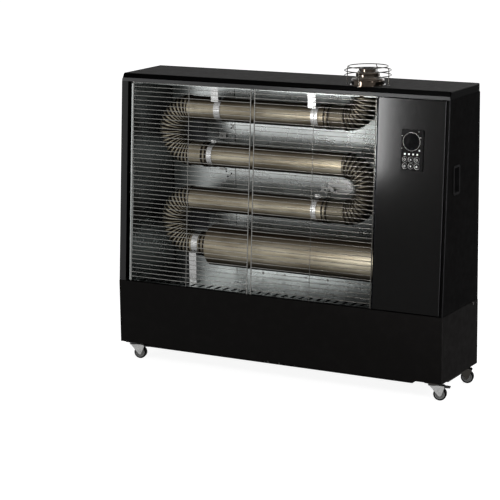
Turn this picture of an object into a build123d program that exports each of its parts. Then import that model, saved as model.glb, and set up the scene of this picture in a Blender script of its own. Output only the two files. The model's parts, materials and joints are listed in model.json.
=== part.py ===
"""Diesel infrared heater on casters, with a wire guarded heat chamber and a burner bay.

The frame has its origin on the floor under the middle of the case: X runs along the width,
the front faces -Y and Z points up. All sizes are in millimetres.
"""
from build123d import *
import math
import os

os.makedirs("parts", exist_ok=True)

# Case, overall
CASE_WIDTH = 1140.0
CASE_DEPTH = 272.0
CASTER_HEIGHT = 57.0
BASE_HEIGHT = 205.0
UPPER_HEIGHT = 644.0
FRONT_LEAN = 46.0
SHEET = 1.2
FIT_GAP = 0.3
CUT = 1.0

# Folded edges of the case panels
BASE_FLANGE = 20.0
FLANGE_GAP = 2.7
SIDE_FLANGE = 24.0
RIGHT_FRONT_FLANGE = 10.0
FOLD_RADIUS = 2.0
BACK_INSET = 1.0

# Lid
LID_LIP = 10.5
LID_BEVEL_HEIGHT = 14.5
LID_BEVEL_RUN = 10.0
LID_INSET = 1.5
LID_SIDE_RADIUS = 5.0
FLUE_HOLE_GAP = 2.0

# Tray, deck and underframe
TRAY_GAP = 3.5
TRAY_FLANGE = 18.0
DECK_INSET = 1.5
AIR_SLOTS = 4
AIR_SLOT_WIDTH = 12.0
AIR_SLOT_PITCH = 24.0
AIR_SLOT_LENGTH = 80.0
AIR_SLOT_FROM_FRONT = 50.0
AIR_SLOT_FROM_PARTITION = 90.0
RAIL_DROP = 10.0
RAIL_WIDTH = 30.0
RAIL_SHEET = 2.0
RAIL_END_GAP = 100.0
RAIL_INSET = 8.0
RAIL_CASTER_GAP = 20.0
RAIL_SCREW_XS = (-26.0, 14.0)

# Louvres of the back panel
LOUVRE_LENGTH = 90.0
LOUVRE_WIDTH = 5.0
LOUVRE_PITCH = 14.0
LOUVRES = 7
LOUVRE_GROUP_PITCH = 180.0
LOUVRE_FROM_SIDE = 100.0
LOUVRE_FROM_LIP = 150.0
LOUVRE_FROM_SEAM = 60.0

# Heat chamber opening and the bay beside it
CAVITY_FROM_LEFT = 39.0
BAY_WIDTH = 237.0
PARTITION_GAP = 12.0
PARTITION_SHORT = 2.4
FOLD_CLEARANCE = 1.0
REFLECTOR_SHEET = 1.0
LEFT_SPLAY = 34.0
RIGHT_SPLAY = 20.0
REFLECTOR_FROM_BACK = 37.0
REFLECTOR_STRIP = 8.0
REFLECTOR_TOP_DROP = 6.0
REFLECTOR_FRONT_GAP = 12.0
SLOT_PITCH = 30.0
SLOT_LENGTH = 36.0
SLOT_WIDTH = 12.0
SLOT_FROM_EDGE = 4.0

# Heat tubes and their ribbed bends
TUBE_RADIUS = 38.0
TUBE_WALL = 1.2
TUBE_BEHIND_TOP = 16.0
LOW_TUBE_HEIGHT = 126.0
TOP_TUBE_FROM_LIP = 80.0
CHAMBER_RADIUS = 65.0
CHAMBER_WALL = 2.0
CHAMBER_CONE = 12.0
CHAMBER_NECK = 58.0
NECK_BEADS_FROM_CONE = (6.0, 20.0)
CHAMBER_FLANGE = 10.0
CHAMBER_FLANGE_SHEET = 3.0
BEND_FROM_LEFT = 190.0
BEND_FROM_RIGHT = 129.0
CUFF_LENGTH = 61.0
LEFT_CUFF_LENGTH = 57.0
ELBOW_CUFF_LENGTH = 52.0
RIB_HEIGHT = 3.0
RIBS_PER_BEND = 20
BEAD_HEIGHT = 2.5
BEAD_WIDTH = 5.0
BEAD_FROM_END = 4.4

# Clamps, hangers and saddles
CLAMP_WIDTH = 17.0
CLAMP_SHEET = 1.5
CLAMP_EAR = 9.0
CLAMP_GAP = 6.0
CLAMP_SCREW = 2.0
CLAMP_SCREW_HEAD = 3.5
LEFT_CLAMP_FROM_JOINT = 22.0
RIGHT_CLAMP_FROM_JOINT = 36.0
HANGER_FROM_BEND = 110.0
HANGER_FROM_JOINT = 40.0
HANGER_ASIDE = 11.0
HANGER_WIDTH = 26.0
HANGER_FORWARD = 0.7
NECK_STRAP_FROM_BEND = 19.0
STRAP_WIDTH = 22.0
STRAP_SHEET = 1.5
BRACKET_SHEET = 2.0
BRACKET_HEIGHT = 40.0
BRACKET_FOOT = 16.0
BRACKET_FROM_CONE = 30.0
BRACKET_FROM_END = 110.0

# Flue outlet on the lid and the wire cage round it
FLUE_WALL_GAP = 15.0
SPIGOT_RADIUS = 25.0
SPIGOT_LENGTH = 8.0
OUTLET_RADIUS = 50.0
OUTLET_HEIGHT = 49.0
OUTLET_WALL = 1.5
OUTLET_FLANGE = 4.0
SKIRT_HEIGHT = 11.0
SHOULDER_HEIGHT = 20.5
SHOULDER_RADIUS = 46.0
WAIST_HEIGHT = 27.0
WAIST_STEP = 11.5
ROLL_HEIGHT = 35.0
ARC_SHORT = 0.32
ARC_LONG = 0.68
CAGE_RADIUS = 70.5
CAGE_TOP_RADIUS = 61.0
CAGE_HEIGHTS = (29.5, 44.5)
CAGE_TOP_HEIGHT = 56.0
CAGE_WIRE = 1.5
CAGE_WELD = 0.4
CAGE_KNEE = 3.0
CAGE_FOOT = 4.5
CAGE_LEGS = 4
CAGE_LEG_TURN = 2.0

# Wire guard
GUARD_WIRE = 1.0
GUARD_BAR = 1.75
GUARD_PITCH = 14.25
GUARD_FIRST_WIRE = 15.0
GUARD_SET_BACK = 4.0
GUARD_SIDE_GAP = 1.0
GUARD_MIDDLE_GAP = 14.0
GUARD_MIDDLE_SHARE = 0.509
GUARD_WELD = 0.4
GUARD_TUCK = 6.0
GUARD_POST_SHARES = (0.481, 0.494)

# Control door and control unit
DOOR_GAP_LEFT = 9.0
DOOR_GAP_RIGHT = 11.0
DOOR_GAP_LOW = 3.0
DOOR_GAP_HIGH = 3.0
DOOR_PROUD = 3.0
DOOR_DEPTH = 14.0
UNIT_WIDTH = 72.0
UNIT_HEIGHT = 122.0
UNIT_PROUD = 3.0
UNIT_DEPTH = 22.0
UNIT_RIM = 3.0
UNIT_WALL = 1.5
UNIT_CORNER = 4.0
UNIT_EDGE = 1.0
UNIT_FROM_RIGHT = 114.0
UNIT_FROM_LIP = 152.0
CONTROLS_LEFTWARD = 3.0
DISPLAY_RADIUS = 25.0
DISPLAY_FROM_TOP = 36.0
DISPLAY_RECESS = 0.8
WINDOW_FLANGE = 1.2
LAMP_SIZE = 5.0
LAMP_PROUD = 0.4
LAMP_PITCH = 13.3
LAMP_COUNT = 4
LAMP_FROM_TOP = 73.5
BUTTON_RADIUS = 7.0
BUTTON_PITCH = 19.3
BUTTON_ROW_FROM_TOP = 89.5
BUTTON_PROUD = 1.6
BUTTON_EDGE = 0.8
BUTTON_FLANGE = 1.0
BUTTON_FIT = 0.1
BUTTON_TRAVEL = 1.2
BUTTON_STEM = 2.5
BOARD_THICK = 1.6
SWITCH_SIZE = 6.0
SWITCH_HEIGHT = 3.5
DISPLAY_BACK_INSET = 3.0
CHIP_SIZE = (10.0, 14.0, 5.0)
CHIP_PITCH = 18.0
CHIPS = 3

# Side grips
GRIP_WIDTH = 40.0
GRIP_HEIGHT = 80.0
GRIP_DEPTH = 26.0
GRIP_WALL = 2.0
GRIP_LIP = 4.0
GRIP_LIP_PROUD = 1.5
GRIP_FROM_FRONT = 96.0
GRIP_FROM_LIP = 243.0

# Filler pocket and cable gland in the rear wall of the base
POCKET_WIDTH = 110.0
POCKET_DEPTH = 72.0
POCKET_HEIGHT = 78.0
POCKET_FROM_LEFT = 560.0
POCKET_BELOW_SEAM = 10.6
POCKET_ABOVE_TANK = 2.0
NECK_HOLE_GAP = 1.0
INLET_FROM_RIGHT = 120.0
INLET_HEIGHT = 60.0
GLAND_BORE = 6.0
GLAND_THREAD = 9.5
GLAND_HOLE_GAP = 0.5
GLAND_NUT = 13.0
GLAND_NUT_HEIGHT = 6.0
GLAND_LENGTH = 20.0
GLAND_INSIDE = 12.0

# Fuel system
TANK_FROM_LEFT = 90.0
TANK_FROM_RIGHT = 240.0
TANK_FROM_FRONT = 24.0
TANK_FROM_BACK = 10.0
TANK_WALL = 1.5
TANK_CORNER = 12.0
TANK_FOOT = 6.0
TANK_FOOT_SIZE = 20.0
TANK_FOOT_INSET = 20.0
NECK_RADIUS = 22.0
NECK_WALL = 2.0
NECK_HEIGHT = 10.0
CAP_RADIUS = 27.0
CAP_HEIGHT = 18.0
CAP_FIT = 0.1
CAP_ABOVE_FLOOR = 1.0
CAP_GROOVES = 16
CAP_GROOVE_RADIUS = 2.5
CAP_EDGE = 1.0
FUEL_LINE_RADIUS = 4.0
FUEL_LINE_WALL = 1.0
FUEL_LINE_BEND = 12.0
FUEL_LINE_RISE = 32.0
FUEL_LINE_HOLE_GAP = 2.0
FUEL_BOSS_HEIGHT = 4.0
FUEL_BOSS_FROM_END = 30.0
LINE_FROM_PARTITION = 60.0
LINE_BEHIND_TUBES = 60.0
PUMP_FROM_LINE = 40.0
PUMP_SIZE = (60.0, 50.0, 45.0)
PUMP_CORNER = 6.0
PUMP_PORT_HEIGHT = 25.0
PUMP_COIL_RADIUS = 16.0
PUMP_COIL_LENGTH = 23.0

# Burner in the bay
BURNER_FROM_PARTITION = 60.0
BURNER_RADIUS = 68.0
BURNER_LOBE = 54.0
BURNER_WIDTH = 64.0
BURNER_WALL = 2.5
FAN_ABOVE_NOZZLE = 72.0
BLAST_TUBE_RADIUS = 45.0
BLAST_TUBE_WALL = 2.0
BLAST_TUBE_LENGTH = 150.0
BLAST_FLANGE = 18.0
BLAST_FLANGE_SHEET = 4.0
BLAST_HOLE_GAP = 1.0
DIFFUSER_FROM_END = 14.0
DIFFUSER_SHEET = 1.5
DIFFUSER_SLOTS = 10
DIFFUSER_SLOT = (16.0, 2.5)
DIFFUSER_SLOT_RADIUS = 26.0
NOZZLE_RADIUS = 7.0
NOZZLE_LENGTH = 14.0
NOZZLE_PIPE_RADIUS = 4.0
MOTOR_RADIUS = 42.0
MOTOR_FROM_WALL = 27.8
MOTOR_FLANGE = 4.0
MOTOR_FINS = 24
MOTOR_GROOVE = (5.0, 2.5)
MOTOR_GROOVE_FROM_END = 10.0
SHAFT_RADIUS = 5.0
SHAFT_FIT = 0.05
SHAFT_HOLE_GAP = 3.0
SHAFT_SHORT = 12.0
IMPELLER_RADIUS = 54.0
IMPELLER_WIDTH = 44.0
IMPELLER_SHEET = 2.0
IMPELLER_RING = 10.0
IMPELLER_HUB = 15.0
IMPELLER_BLADES = 24
BLADE_SIZE = (9.0, 1.5)
BLADE_FROM_RIM = 6.0
BLADE_TURN = 30.0

# Ignition box, flame sensor, tilt switch and overheat sensor
IGNITION_SIZE = (52.0, 68.0, 90.0)
IGNITION_FROM_BACK = 44.0
IGNITION_ABOVE_FAN = 100.0
IGNITION_CORNER = 4.0
IGNITION_POST_RADIUS = 6.0
IGNITION_POST_LENGTH = 14.0
IGNITION_POST_PITCH = 32.0
IGNITION_POST_HEIGHT = 20.0
FLAME_SENSOR_RADIUS = 7.0
FLAME_SENSOR_LENGTH = 26.0
FLAME_SENSOR_FROM_WALL = 30.0
TILT_SIZE = (44.0, 34.0, 38.0)
TILT_FROM_RIGHT = 152.0
TILT_FROM_FRONT = 40.0
HEAT_PLATE = (44.0, 26.0)
HEAT_PLATE_SHEET = 2.0
HEAT_PLATE_FROM_BAY = 217.0
HEAT_PLATE_ABOVE_TUBE = 49.5
HEAT_SENSOR_RADIUS = 7.0
HEAT_SENSOR_LENGTH = 12.0
HEAT_SENSOR_OFFSET = (-24.0, -8.0)

# Casters
WHEEL_RADIUS = 20.0
WHEEL_WIDTH = 18.0
TYRE_THICKNESS = 5.0
TYRE_EDGE = 2.0
HUB_RIM = 2.5
HUB_RECESS = 3.0
HUB_BOSS_RADIUS = 7.8
AXLE_RADIUS = 3.0
AXLE_FIT = 0.05
AXLE_HEAD_RADIUS = 5.1
AXLE_HEAD = 1.5
FORK_SHEET = 2.0
FORK_GAP = 1.5
FORK_TOP_RADIUS = 17.0
FORK_TOP_LENGTH = 22.0
FORK_TOP_OFFSET = 1.0
FORK_EYE_RADIUS = 6.0
CASTER_TRAIL = 20.0
CASTER_PLATE = 3.0
CASTER_PLATE_SIZE = 42.0
CASTER_BEARING = 6.0
CASTER_CUP_RADIUS = 14.0
CASTER_FROM_SIDE = 37.5
CASTER_FROM_FRONT = 25.0
CASTER_FROM_BACK = 38.0
CASTER_TURN = 15.0
KINGPIN_RADIUS = 4.0
KINGPIN_HEAD = 7.0
KINGPIN_HEAD_HEIGHT = 2.0
PIVOT_BEHIND_AXLE = 10.0
PIVOT_ABOVE_WHEEL = 1.5
PIVOT_RADIUS = 1.5
PEDAL_BARREL = 3.0
PEDAL_EAR = 4.5
PEDAL_REACH = 21.0
PEDAL_THICK = 2.5
PEDAL_ROOT_THICK = 4.5
PEDAL_TIP_HEIGHT = 1.0
PEDAL_WIDTH = 19.0

# Screws
SCREW_HEAD = 4.0
SCREW_HEAD_HEIGHT = 2.2
SCREW_SHANK = 2.0
SCREW_LENGTH = 8.0
SCREW_HOLE = 2.2
SCREW_SLOT = (4.8, 0.9, 1.2)
SIDE_SCREW_BELOW_SEAM = 6.0
SIDE_SCREW_FROM_BACK = 39.0
BACK_SCREW_FROM_SIDE = 12.0
BACK_SCREW_FROM_END = 30.0

# Planes and heights worked out from the sizes above
LEFT, RIGHT = -CASE_WIDTH / 2, CASE_WIDTH / 2
FRONT, BACK = -CASE_DEPTH / 2, CASE_DEPTH / 2
BASE_Z = CASTER_HEIGHT
SEAM_Z = BASE_Z + BASE_HEIGHT
DECK_TOP = SEAM_Z + SHEET
LIP_Z = SEAM_Z + UPPER_HEIGHT
BAND_Z = LIP_Z + LID_LIP
TOP_Z = BAND_Z + LID_BEVEL_HEIGHT
UPPER_BACK = BACK - SHEET - FIT_GAP
LEAN_ANGLE = math.atan2(FRONT_LEAN, UPPER_HEIGHT)
SLOPE_LENGTH = UPPER_HEIGHT / math.cos(LEAN_ANGLE)
CAVITY_LEFT = LEFT + CAVITY_FROM_LEFT
CAVITY_RIGHT = RIGHT - BAY_WIDTH
PARTITION_X = CAVITY_RIGHT + PARTITION_GAP
FLANGE_X = PARTITION_X + SHEET
REFLECTOR_Y = BACK - REFLECTOR_FROM_BACK
TUBE_Y = FRONT + FRONT_LEAN + TUBE_BEHIND_TOP + TUBE_RADIUS
TUBE_PITCH = (UPPER_HEIGHT - LOW_TUBE_HEIGHT - TOP_TUBE_FROM_LIP) / 3
CHAMBER_Z = SEAM_Z + LOW_TUBE_HEIGHT
TUBE_HEIGHTS = [CHAMBER_Z + TUBE_PITCH * step for step in (1, 2, 3)]
LEFT_BEND_X = CAVITY_LEFT + BEND_FROM_LEFT
RIGHT_BEND_X = CAVITY_RIGHT - BEND_FROM_RIGHT
RIGHT_JOINT_X = RIGHT_BEND_X - CUFF_LENGTH
LEFT_JOINT_X = LEFT_BEND_X + LEFT_CUFF_LENGTH
BEND_RADIUS = TUBE_PITCH / 2
BORE_RADIUS = TUBE_RADIUS - TUBE_WALL
FLUE_X = CAVITY_RIGHT - TUBE_RADIUS - RIB_HEIGHT - FLUE_WALL_GAP
FLUE_Y = TUBE_Y
ELBOW_X = FLUE_X - BEND_RADIUS
TOP_JOINT_X = ELBOW_X - ELBOW_CUFF_LENGTH
SIDE_SCREW_Z = SEAM_Z - SIDE_SCREW_BELOW_SEAM
SIDE_SCREW_Y = BACK - SIDE_SCREW_FROM_BACK
BACK_SCREW_X = RIGHT - BACK_SCREW_FROM_SIDE
BACK_SCREW_ZS = (SEAM_Z + BACK_SCREW_FROM_END, (SEAM_Z + LIP_Z) / 2, LIP_Z - BACK_SCREW_FROM_END)

front_plane = Plane(
    origin=(0, FRONT, SEAM_Z),
    x_dir=(1, 0, 0),
    z_dir=(0, -math.cos(LEAN_ANGLE), math.sin(LEAN_ANGLE)),
)


def front_y(height):
    """Depth of the leaning front at a height."""
    return FRONT + (height - SEAM_Z) * math.tan(LEAN_ANGLE)


def up_slope(height):
    """Distance up the leaning front for a height."""
    return (height - SEAM_Z) / math.cos(LEAN_ANGLE)


def save(builder, name):
    """Label a finished piece and write it."""
    builder.part.label = name
    export_step(builder.part, f"parts/{name}.step")
    print(name, len(builder.part.solids()), "solids")


def save_apart(builders, name):
    """Write pieces of one node that stay separate solids."""
    group = Compound(label=name, children=[builder.part for builder in builders])
    export_step(group, f"parts/{name}.step")
    print(name, len(group.solids()), "solids")


def block(low, high, mode=Mode.ADD):
    """Box between two corners, inside the part being built."""
    size = [b - a for a, b in zip(low, high)]
    middle = [(a + b) / 2 for a, b in zip(low, high)]
    with Locations(tuple(middle)):
        Box(*size, mode=mode)


def rod(plane, radius, length, mode=Mode.ADD, bore=0.0):
    """Round bar or tube standing on a plane, inside the part being built."""
    with BuildSketch(plane) as section:
        Circle(radius)
        if bore:
            Circle(bore, mode=Mode.SUBTRACT)
    extrude(section.sketch, amount=length, mode=mode)


def across(x, y, z):
    """Plane at a point that faces along the width."""
    return Plane(origin=(x, y, z), x_dir=(0, 1, 0), z_dir=(1, 0, 0))


def moved(plane, x, y=0.0):
    """A plane with its origin moved to a point of its own."""
    return Plane(origin=plane.from_local_coords((x, y, 0)), x_dir=plane.x_dir, z_dir=plane.z_dir)


def upright(x, y, z):
    """Plane at a point that faces up."""
    return Plane(origin=(x, y, z), x_dir=(1, 0, 0), z_dir=(0, 0, 1))


def rearward(x, y, z):
    """Plane at a point that faces the back."""
    return Plane(origin=(x, y, z), x_dir=(-1, 0, 0), z_dir=(0, 1, 0))


# Base walls
def long_base_wall(outer_y, inward):
    """Skin and folded top and bottom edges of the base's front or rear wall."""
    end = RIGHT - BASE_FLANGE - FLANGE_GAP
    ys = sorted((outer_y, outer_y + inward * SHEET))
    fold = sorted((outer_y + inward * SHEET, outer_y + inward * BASE_FLANGE))
    block((LEFT, ys[0], BASE_Z), (RIGHT, ys[1], SEAM_Z))
    for low in (BASE_Z, SEAM_Z - SHEET):
        block((-end, fold[0], low), (end, fold[1], low + SHEET))


with BuildPart() as base_front_panel:
    long_base_wall(FRONT, 1)
save(base_front_panel, "base_front_panel")

with BuildPart() as base_side_panels:
    for side in (-1, 1):
        outer = side * CASE_WIDTH / 2
        low_y, high_y = FRONT + SHEET + FIT_GAP, BACK - SHEET - FIT_GAP
        inner = outer - side * SHEET
        fold = outer - side * BASE_FLANGE
        xs = sorted((outer, fold))
        cut = sorted((inner, fold - side * CUT))
        block((xs[0], low_y, BASE_Z), (xs[1], high_y, SEAM_Z))
        block(
            (cut[0], low_y + SHEET, BASE_Z + SHEET),
            (cut[1], high_y - SHEET, SEAM_Z - SHEET),
            Mode.SUBTRACT,
        )
        rod(across(outer, SIDE_SCREW_Y, SIDE_SCREW_Z), SCREW_HOLE, -side * 2 * SHEET, Mode.SUBTRACT)
save(base_side_panels, "base_side_panels")

# Rear wall of the base, with the filler pocket pressed into it
POCKET_X = LEFT + POCKET_FROM_LEFT
POCKET_FLOOR = SEAM_Z - POCKET_BELOW_SEAM - POCKET_HEIGHT
NECK_Y = BACK - POCKET_DEPTH / 2
INLET_X = RIGHT - INLET_FROM_RIGHT
INLET_Z = BASE_Z + INLET_HEIGHT

with BuildPart() as base_rear_panel:
    long_base_wall(BACK, -1)
    pocket_low = (POCKET_X - POCKET_WIDTH / 2, BACK - POCKET_DEPTH, POCKET_FLOOR)
    pocket_high = (POCKET_X + POCKET_WIDTH / 2, BACK, POCKET_FLOOR + POCKET_HEIGHT)
    block(
        [value - SHEET for value in pocket_low],
        (pocket_high[0] + SHEET, BACK, pocket_high[2] + SHEET),
    )
    block(pocket_low, (pocket_high[0], BACK + SHEET, pocket_high[2]), Mode.SUBTRACT)
    floor_hole = upright(POCKET_X, NECK_Y, POCKET_FLOOR + CUT)
    rod(floor_hole, NECK_RADIUS + NECK_HOLE_GAP, -SHEET - 2 * CUT, Mode.SUBTRACT)
    inlet_hole = rearward(INLET_X, BACK + CUT, INLET_Z)
    rod(inlet_hole, GLAND_THREAD + GLAND_HOLE_GAP, -SHEET - 2 * CUT, Mode.SUBTRACT)
save(base_rear_panel, "base_rear_panel")

# Tray that closes the base from below and carries the tank
TRAY_FLOOR = BASE_Z + SHEET
with BuildPart() as chassis_tray:
    tray_x = RIGHT - TRAY_GAP
    tray_y = BACK - TRAY_GAP
    block((-tray_x, -tray_y, TRAY_FLOOR), (tray_x, tray_y, TRAY_FLOOR + TRAY_FLANGE))
    block(
        (-tray_x + SHEET, -tray_y + SHEET, TRAY_FLOOR + SHEET),
        (tray_x - SHEET, tray_y - SHEET, TRAY_FLOOR + TRAY_FLANGE + CUT),
        Mode.SUBTRACT,
    )
save(chassis_tray, "chassis_tray")

# Rails under the base, between the casters
FRONT_RAIL_Y = FRONT + RAIL_INSET


def rail(low, high, opening):
    """Folded channel that opens upward, its floor hanging below the base."""
    block(low, high)
    inner_low = (low[0] + opening[0], low[1] + opening[1], low[2] + RAIL_SHEET)
    inner_high = (high[0] - opening[0], high[1] - opening[1], high[2] + CUT)
    block(inner_low, inner_high, Mode.SUBTRACT)


with BuildPart() as underframe_rails:
    rail_end = RIGHT - RAIL_END_GAP
    for low_y in (FRONT_RAIL_Y, BACK - RAIL_INSET - RAIL_WIDTH):
        rail(
            (-rail_end, low_y, BASE_Z - RAIL_DROP),
            (rail_end, low_y + RAIL_WIDTH, BASE_Z),
            (0.0, RAIL_SHEET, 0.0),
        )
    side_rail_y = BACK - CASTER_FROM_BACK - CASTER_PLATE_SIZE - RAIL_CASTER_GAP
    for side in (-1, 1):
        xs = sorted((side * (RIGHT - RAIL_INSET), side * (RIGHT - RAIL_INSET - RAIL_WIDTH)))
        rail(
            (xs[0], FRONT + CASTER_FROM_FRONT + CASTER_PLATE_SIZE, BASE_Z - RAIL_DROP),
            (xs[1], side_rail_y, BASE_Z),
            (RAIL_SHEET, 0.0, 0.0),
        )
    for x in RAIL_SCREW_XS:
        plane = Plane(origin=(x, FRONT_RAIL_Y, BASE_Z - RAIL_DROP / 2), x_dir=(1, 0, 0), z_dir=(0, -1, 0))
        rod(plane, SCREW_HOLE, -2 * RAIL_SHEET, Mode.SUBTRACT)
save(underframe_rails, "underframe_rails")

# Deck between the base and the heat chamber
LINE_X = PARTITION_X + LINE_FROM_PARTITION
LINE_Y = TUBE_Y + LINE_BEHIND_TUBES
with BuildPart() as deck_plate:
    block(
        (LEFT + DECK_INSET, FRONT + DECK_INSET, SEAM_Z),
        (RIGHT - DECK_INSET, BACK - DECK_INSET, DECK_TOP),
    )
    line_hole = upright(LINE_X, LINE_Y, SEAM_Z - CUT)
    rod(line_hole, FUEL_LINE_RADIUS + FUEL_LINE_HOLE_GAP, SHEET + 2 * CUT, Mode.SUBTRACT)
    for step in range(AIR_SLOTS):
        slot_x = PARTITION_X + AIR_SLOT_FROM_PARTITION + AIR_SLOT_PITCH * step
        slot_y = FRONT + AIR_SLOT_FROM_FRONT
        block(
            (slot_x, slot_y, SEAM_Z - CUT),
            (slot_x + AIR_SLOT_WIDTH, slot_y + AIR_SLOT_LENGTH, DECK_TOP + CUT),
            Mode.SUBTRACT,
        )
save(deck_plate, "deck_plate")


# Upper side panels, folded inward all round
def upper_side(name, side, front_flange):
    outer = side * CASE_WIDTH / 2
    with BuildPart() as panel:
        with BuildSketch(Plane.YZ.offset(outer)):
            with BuildLine():
                Polyline(
                    (front_y(DECK_TOP), DECK_TOP),
                    (UPPER_BACK, DECK_TOP),
                    (UPPER_BACK, LIP_Z),
                    (front_y(LIP_Z), LIP_Z),
                    close=True,
                )
            make_face()
        extrude(amount=-side * SIDE_FLANGE)
        long_edges = panel.edges().filter_by(
            lambda edge: abs(edge.center().X - outer) < 0.01 and edge.length > 0.9 * UPPER_HEIGHT
        )
        fillet(long_edges, FOLD_RADIUS)
        with BuildSketch(Plane.YZ.offset(outer - side * SHEET)):
            with BuildLine():
                Polyline(
                    (front_y(DECK_TOP) + SHEET, DECK_TOP + SHEET),
                    (UPPER_BACK - SHEET, DECK_TOP + SHEET),
                    (UPPER_BACK - SHEET, LIP_Z - SHEET),
                    (front_y(LIP_Z) + SHEET, LIP_Z - SHEET),
                    close=True,
                )
            make_face()
        extrude(amount=-side * SIDE_FLANGE, mode=Mode.SUBTRACT)
        if front_flange < SIDE_FLANGE:
            xs = sorted((outer - side * front_flange, outer - side * (SIDE_FLANGE + CUT)))
            with BuildSketch(front_plane.offset(DOOR_PROUD)):
                with Locations((sum(xs) / 2, SLOPE_LENGTH / 2)):
                    Rectangle(xs[1] - xs[0], SLOPE_LENGTH - DOOR_GAP_LOW - DOOR_GAP_HIGH)
            extrude(amount=-DOOR_PROUD - 2 * SHEET, mode=Mode.SUBTRACT)
        with BuildSketch(Plane.YZ.offset(outer)):
            with Locations((FRONT + GRIP_FROM_FRONT, LIP_Z - GRIP_FROM_LIP)):
                Rectangle(GRIP_WIDTH, GRIP_HEIGHT)
        extrude(amount=-side * 2 * SHEET, mode=Mode.SUBTRACT)
        for height in BACK_SCREW_ZS:
            hole = rearward(side * BACK_SCREW_X, UPPER_BACK + CUT, height)
            rod(hole, SCREW_HOLE, -SHEET - 2 * CUT, Mode.SUBTRACT)
    save(panel, name)


upper_side("side_panel_left", -1, SIDE_FLANGE)
upper_side("side_panel_right", 1, RIGHT_FRONT_FLANGE)

# Recessed grips in the side panels
with BuildPart() as side_grips:
    for side in (-1, 1):
        outer = side * CASE_WIDTH / 2
        middle_y, middle_z = FRONT + GRIP_FROM_FRONT, LIP_Z - GRIP_FROM_LIP
        with BuildSketch(Plane.YZ.offset(outer)):
            with Locations((middle_y, middle_z)):
                RectangleRounded(GRIP_WIDTH + 2 * GRIP_LIP, GRIP_HEIGHT + 2 * GRIP_LIP, 2 * GRIP_LIP)
        extrude(amount=side * GRIP_LIP_PROUD)
        with BuildSketch(Plane.YZ.offset(outer)):
            with Locations((middle_y, middle_z)):
                Rectangle(GRIP_WIDTH - 2 * FIT_GAP, GRIP_HEIGHT - 2 * FIT_GAP)
        extrude(amount=-side * GRIP_DEPTH)
        with BuildSketch(Plane.YZ.offset(outer + side * GRIP_LIP_PROUD)):
            with Locations((middle_y, middle_z)):
                RectangleRounded(
                    GRIP_WIDTH - 2 * FIT_GAP - 2 * GRIP_WALL,
                    GRIP_HEIGHT - 2 * FIT_GAP - 2 * GRIP_WALL,
                    GRIP_LIP,
                )
        extrude(amount=-side * (GRIP_DEPTH + GRIP_LIP_PROUD - GRIP_WALL), mode=Mode.SUBTRACT)
save(side_grips, "side_grips")

# Upper back panel with louvres behind the burner bay and along the top
with BuildPart() as back_panel:
    skin_end = RIGHT - BACK_INSET
    fold_end = RIGHT - SIDE_FLANGE - 2 * FIT_GAP
    panel_low = DECK_TOP + FIT_GAP
    block((-skin_end, BACK - SHEET, panel_low), (skin_end, BACK, LIP_Z))
    for low in (panel_low, LIP_Z - SHEET):
        block((-fold_end, BACK - BASE_FLANGE, low), (fold_end, BACK - SHEET, low + SHEET))
    last_x = RIGHT - LOUVRE_FROM_SIDE
    groups = int((2 * last_x) // LOUVRE_GROUP_PITCH) + 1
    spots = [(last_x - LOUVRE_GROUP_PITCH * step, LIP_Z - LOUVRE_FROM_LIP) for step in range(groups)]
    for x, low_z in spots + [(last_x, SEAM_Z + LOUVRE_FROM_SEAM)]:
        with BuildSketch(Plane.XZ.offset(-BACK)):
            for step in range(LOUVRES):
                with Locations((x, low_z + LOUVRE_PITCH * step)):
                    SlotOverall(LOUVRE_LENGTH, LOUVRE_WIDTH)
        extrude(amount=2 * SHEET, both=True, mode=Mode.SUBTRACT)
    for side in (-1, 1):
        for height in BACK_SCREW_ZS:
            hole = rearward(side * BACK_SCREW_X, BACK + CUT, height)
            rod(hole, SCREW_HOLE, -SHEET - 2 * CUT, Mode.SUBTRACT)
save(back_panel, "back_panel")

# Lid: a folded tray with a bevelled front edge and the flue hole
LID_HOLE_RADIUS = TUBE_RADIUS + RIB_HEIGHT + FLUE_HOLE_GAP
LID_LEFT, LID_RIGHT = LEFT + LID_INSET, RIGHT - LID_INSET
with BuildPart() as lid:
    lid_front = front_y(LIP_Z)
    with BuildSketch(Plane.YZ.offset(LID_LEFT)):
        with BuildLine():
            Polyline(
                (lid_front, LIP_Z),
                (lid_front, BAND_Z),
                (lid_front + LID_BEVEL_RUN, TOP_Z),
                (BACK, TOP_Z),
                (BACK, LIP_Z),
                close=True,
            )
        make_face()
    extrude(amount=LID_RIGHT - LID_LEFT)
    side_top_edges = lid.edges().filter_by(
        lambda edge: edge.center().Z > BAND_Z and abs(abs(edge.center().X) - LID_RIGHT) < 0.01
    )
    fillet(side_top_edges, LID_SIDE_RADIUS)
    offset(amount=-SHEET, openings=lid.faces().sort_by(Axis.Z)[0])
    rod(upright(FLUE_X, FLUE_Y, TOP_Z - 3 * SHEET), LID_HOLE_RADIUS, 6 * SHEET, Mode.SUBTRACT)
save(lid, "lid")

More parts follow.
